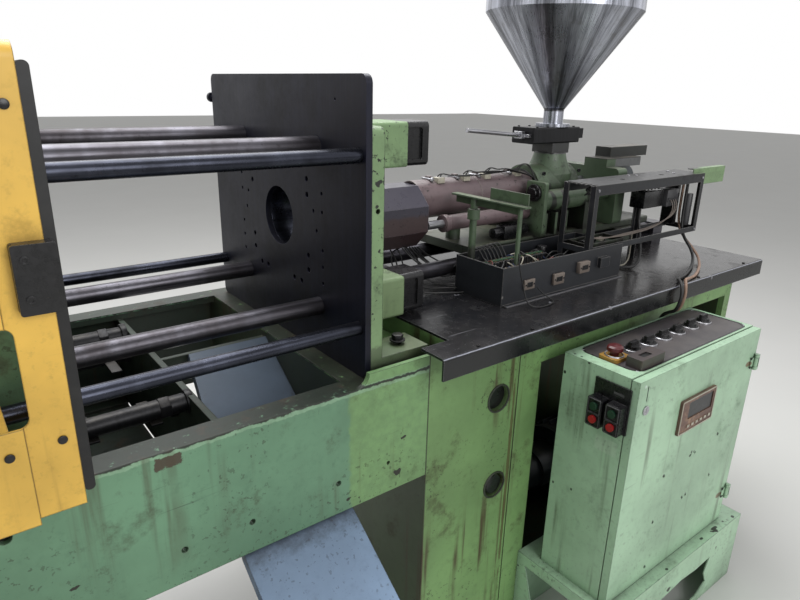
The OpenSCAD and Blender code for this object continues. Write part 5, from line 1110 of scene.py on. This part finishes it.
class MACHINE_OT_cabinet(PieceOperator, bpy.types.Operator):
    """Dress the control cabinet with its switches and display"""

    bl_idname = "machine.cabinet"
    bl_label = "Control cabinet"

    def execute(self, context):
        dress(finish("cabinet"), "control_cabinet", "cabinet_door")
        dress(finish("plinth"), "control_plinth")
        dress(finish("bright"), "door_lock")
        dress(finish("display"), "operator_display")
        dress(finish("panel"), "control_panel_plate")
        dress(finish("black"), "starter_boxes", *("selector_knob_%d" % i for i in range(1, 7)))
        dress(finish("counter"), "counter_block")
        dress(finish("mushroom"), "estop_button")
        dress(finish("green_button"), "start_button_1", "start_button_2")
        dress(finish("red_button"), "stop_button_1", "stop_button_2")
        self.fit_switches()
        self.fit_display()
        self.fit_starter_frames()
        self.fit_door()
        return {"FINISHED"}

    def fit_switches(self):
        """Bezels round the selector knobs, and the panel's edge line and screws."""
        bezels = bmesh.new()
        for x in KNOB_X:
            add_turned(bezels, ((21.3, 0), (21.6, 3.2), (22.6, 4.2), (24.2, 2.6), (24.6, 0)),
                       at(x, KNOB_Y, PANEL_TOP + 0.1), UP)
        add_turned(bezels, ((21.5, 0), (21.8, 2.4), (23.2, 3.2), (24.8, 1.4), (25, 0)),
                   at(635, -190, -32), UP)
        show("switch_bezels", bezels, finish("bright"))
        bm = bmesh.new()
        for x in (612, 1159):
            for y in (-271, -113):
                add_drum(bm, at(x, y, PANEL_TOP), UP, 7, 1.8, 16, bevel=0.0004)
        show("panel_screws", bm, finish("bright"))
        bm = bmesh.new()
        add_outline(bm, (602.3, -280.7), (1168.7, -103.3), 33, 4.5, 0.6,
                    lambda u, v, h: at(u, v, PANEL_TOP + h))
        show("panel_line", bm, finish("black"))

    def fit_display(self):
        """Glass, cream edge line and keys of the operator's display."""
        bm = bmesh.new()
        add_block(bm, (813, -318, -216), (937, -317, -168), 0.0003, 1)
        show("display_glass", bm, finish("glass"))
        bm = bmesh.new()
        add_outline(bm, (774.4, -254.6), (949.6, -155.4), 6, 3.5, 1.0,
                    lambda u, v, h: at(u, DISPLAY_FRONT - h, v))
        for i in range(6):
            add_block(bm, (815 + 22 * i, -322.2, -242), (827 + 22 * i, -320.8, -234), 0.0006, 1)
        show("display_trim", bm, finish("white"))

    def fit_starter_frames(self):
        """Grey frames round the start buttons and a plain strip above them."""
        bm = bmesh.new()
        for y in STARTER_Y:
            for low, high, width, height in ((-152, -113, 1.8, 3.0), (-187, -154, 1.2, 1.5)):
                add_outline(bm, (y - 18, low), (y + 18, high), 3, width, height,
                            lambda u, v, h: at(STARTER_FRONT - h, u, v))
        show("starter_frames", bm, finish("grey"))
        bm = bmesh.new()
        add_block(bm, (557.4, -279, -93), (558.2, -251, -87), 0.0002, 1)
        show("plain_strip", bm, finish("grey"))

    def fit_door(self):
        """The dark slot beside the door's edge and the screws of its hinges."""
        bm = bmesh.new()
        add_block(bm, (598.5, -313.6, -100), (601.5, -312.6, -60), 0.0003, 1)
        show("door_slot", bm, finish("black"), "cabinet_door")
        bm = bmesh.new()
        for z in (-144, -592):
            for lift in (-14, 14):
                add_drum(bm, at(1152, -315.5, z + lift), NEAR, 8, 2, 16, bevel=0.0004)
        show("hinge_screws", bm, finish("black_steel"), "cabinet_door")
        bm = bmesh.new()
        for y in (-118, -139):
            add_drum(bm, at(572, y, -40.6), UP, 6, 0.8, 16, bevel=0)
        show("rim_plugs", bm, finish("black"))


class MACHINE_OT_cables(PieceOperator, bpy.types.Operator):
    """Lay the two free cables from the rack to the cabinet's plinth"""

    bl_idname = "machine.cables"
    bl_label = "Cables"

    def execute(self, context):
        self.lay("black_cable", "cable_black", "rubber", 10.0, 1.402, (
            (1404, 95, 327), (1404, 95, 290), (1404, 95, 240), (1404, 94, 190), (1403, 88, 150),
            (1398, 70, 122), (1385, 40, 98), (1358, 12, 78), (1310, -15, 66), (1245, -42, 61.5),
            (1160, -70, 61), (1105, -82, 62), (1074, -102, 66), (1056, -121, 57), (1048, -129, 30),
            (1044, -126, 0), (1044, -117, -19), (1044, -100, -29), (1044, -84, -42), (1044, -72, -76),
            (1044, -64, -140), (1044, -63, -300), (1044, -63, -450),
            (1044, -63, -684)))
        self.lay("tan_cable", "cable_tan", "tan_cable", 9.0, 1.423, (
            (1424, 120, 327), (1424, 120, 290), (1424, 120, 240), (1424, 118, 190), (1423, 108, 150),
            (1420, 85, 122), (1412, 50, 96), (1390, 12, 74), (1338, -24, 64), (1270, -58, 61),
            (1190, -88, 60.5), (1135, -97, 62), (1100, -107, 66), (1079, -121, 57), (1069, -129, 30),
            (1064, -126, 0), (1064, -117, -19), (1064, -100, -29), (1064, -84, -42), (1064, -72, -76),
            (1064, -64, -140), (1064, -63, -300), (1064, -63, -450),
            (1064, -63, -684)))
        return {"FINISHED"}

    def lay(self, name, node, tone, width, length, stops):
        """One free cable along its stops, in place of the plain one of the CAD model."""
        line = route(stops, 6)
        piece = tube_curve(name, [line], width)
        piece.data.materials.append(finish(tone))
        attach(piece, "root")
        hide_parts(node)
        at(*stops[0])


class MACHINE_OT_stage(PieceOperator, bpy.types.Operator):
    """Set the floor, the light and the camera"""

    bl_idname = "machine.stage"
    bl_label = "Stage"

    def execute(self, context):
        sizes, colours = context.scene.machine_sizes, context.scene.machine_colours
        self.lay_floor(colours)
        self.light_room(context.scene, sizes)
        self.place_camera(context.scene)
        return {"FINISHED"}

    def lay_floor(self, colours):
        """A plain pale floor, wide enough for every view."""
        f = Finish("pale_floor")
        dust = f.noise(1.5, 4.0)
        shade = f.mix(linear(colours.floor, 0.96), linear(colours.floor, 1.03), dust)
        f.surface(Base_Color=shade, Roughness=0.75)
        bm = bmesh.new()
        bmesh.ops.create_grid(bm, x_segments=1, y_segments=1, size=30.0)
        mesh = bpy.data.meshes.new("floor")
        bm.to_mesh(mesh)
        bm.free()
        mesh.materials.append(f.material)
        floor = bpy.data.objects.new("floor", mesh)
        bpy.context.scene.collection.objects.link(floor)

    def light_room(self, scene, sizes):
        """White behind the machine and in reflections, a dimmer even light for the rest, and two lamps."""
        world = bpy.data.worlds.new("studio")
        scene.world = world
        world.use_nodes = True
        tree = world.node_tree
        tree.nodes.clear()
        path = tree.nodes.new("ShaderNodeLightPath")
        seen = path.outputs["Is Camera Ray"]
        for ray in ("Is Glossy Ray", "Is Transmission Ray"):
            either = tree.nodes.new("ShaderNodeMath")
            either.operation = "ADD"
            either.use_clamp = True
            tree.links.new(seen, either.inputs[0])
            tree.links.new(path.outputs[ray], either.inputs[1])
            seen = either.outputs[0]
        strength = tree.nodes.new("ShaderNodeMapRange")
        tree.links.new(seen, strength.inputs["Value"])
        strength.inputs["To Min"].default_value = sizes.sky
        strength.inputs["To Max"].default_value = 1.0
        glow = tree.nodes.new("ShaderNodeBackground")
        glow.inputs["Color"].default_value = (1, 1, 1, 1)
        tree.links.new(strength.outputs[0], glow.inputs["Strength"])
        out = tree.nodes.new("ShaderNodeOutputWorld")
        tree.links.new(glow.outputs[0], out.inputs["Surface"])
        self.hang_lamp("key_lamp", (0.6, 1.2, 4.6), (0.0, 0.0, 0.9), 3.6, sizes.key_light)
        self.hang_lamp("fill_lamp", (0.4, -5.0, 2.9), (0.2, 0.0, 0.8), 2.8, sizes.fill_light)

    def hang_lamp(self, name, place, target, size, power):
        """A square lamp that points at a target; places and size in metres."""
        lamp = bpy.data.lights.new(name, "AREA")
        lamp.shape = "SQUARE"
        lamp.size = size
        lamp.energy = power
        holder = bpy.data.objects.new(name, lamp)
        bpy.context.scene.collection.objects.link(holder)
        holder.location = place
        holder.rotation_euler = (Vector(target) - Vector(place)).to_track_quat("-Z", "Y").to_euler()

    def place_camera(self, scene):
        """The photograph's view: its eye in machine millimetres, and its own three directions."""
        eye = (-691.3, -995.6, 597.0)
        right = (0.79133, -0.61097, 0.02261)
        up = (0.18072, 0.26908, 0.94601)
        back = (-0.58407, -0.74452, 0.32334)
        lens = bpy.data.cameras.new("camera")
        lens.sensor_width = 36.0
        lens.lens = 28.01
        lens.clip_start = 0.02
        camera = bpy.data.objects.new("camera", lens)
        scene.collection.objects.link(camera)
        turn = Matrix((right, up, back)).transposed()
        camera.matrix_world = Matrix.Translation(at(*eye)) @ turn.to_4x4()
        scene.camera = camera
        scene.view_settings.view_transform = "Standard"


class MACHINE_PT_panel(bpy.types.Panel):
    """Lists the machine's pieces"""

    bl_idname = "MACHINE_PT_panel"
    bl_label = "Injection moulding machine"
    bl_space_type = "VIEW_3D"
    bl_region_type = "UI"
    bl_category = "Machine"

    def draw(self, context):
        column = self.layout.column()
        for step in STEPS:
            column.operator(step.bl_idname)
        for settings in (context.scene.machine_colours, context.scene.machine_sizes):
            for name in settings.__annotations__:
                column.prop(settings, name)


STEPS = (
    MACHINE_OT_finishes, MACHINE_OT_cables, MACHINE_OT_bed, MACHINE_OT_clamp, MACHINE_OT_guards,
    MACHINE_OT_injection, MACHINE_OT_electrics, MACHINE_OT_cabinet, MACHINE_OT_stage,
)
CLASSES = (MachineColours, MachineSizes, *STEPS, MACHINE_PT_panel)


def register():
    """Adds the settings, the operators and the panel to Blender."""
    for cls in CLASSES:
        bpy.utils.register_class(cls)
    bpy.types.Scene.machine_colours = bpy.props.PointerProperty(type=MachineColours)
    bpy.types.Scene.machine_sizes = bpy.props.PointerProperty(type=MachineSizes)


def unregister():
    del bpy.types.Scene.machine_sizes
    del bpy.types.Scene.machine_colours
    for cls in reversed(CLASSES):
        bpy.utils.unregister_class(cls)


def main():
    """Builds every piece in order."""
    register()
    for step in STEPS:
        group, name = step.bl_idname.split(".")
        getattr(getattr(bpy.ops, group), name)()


if __name__ == "__main__":
    main()
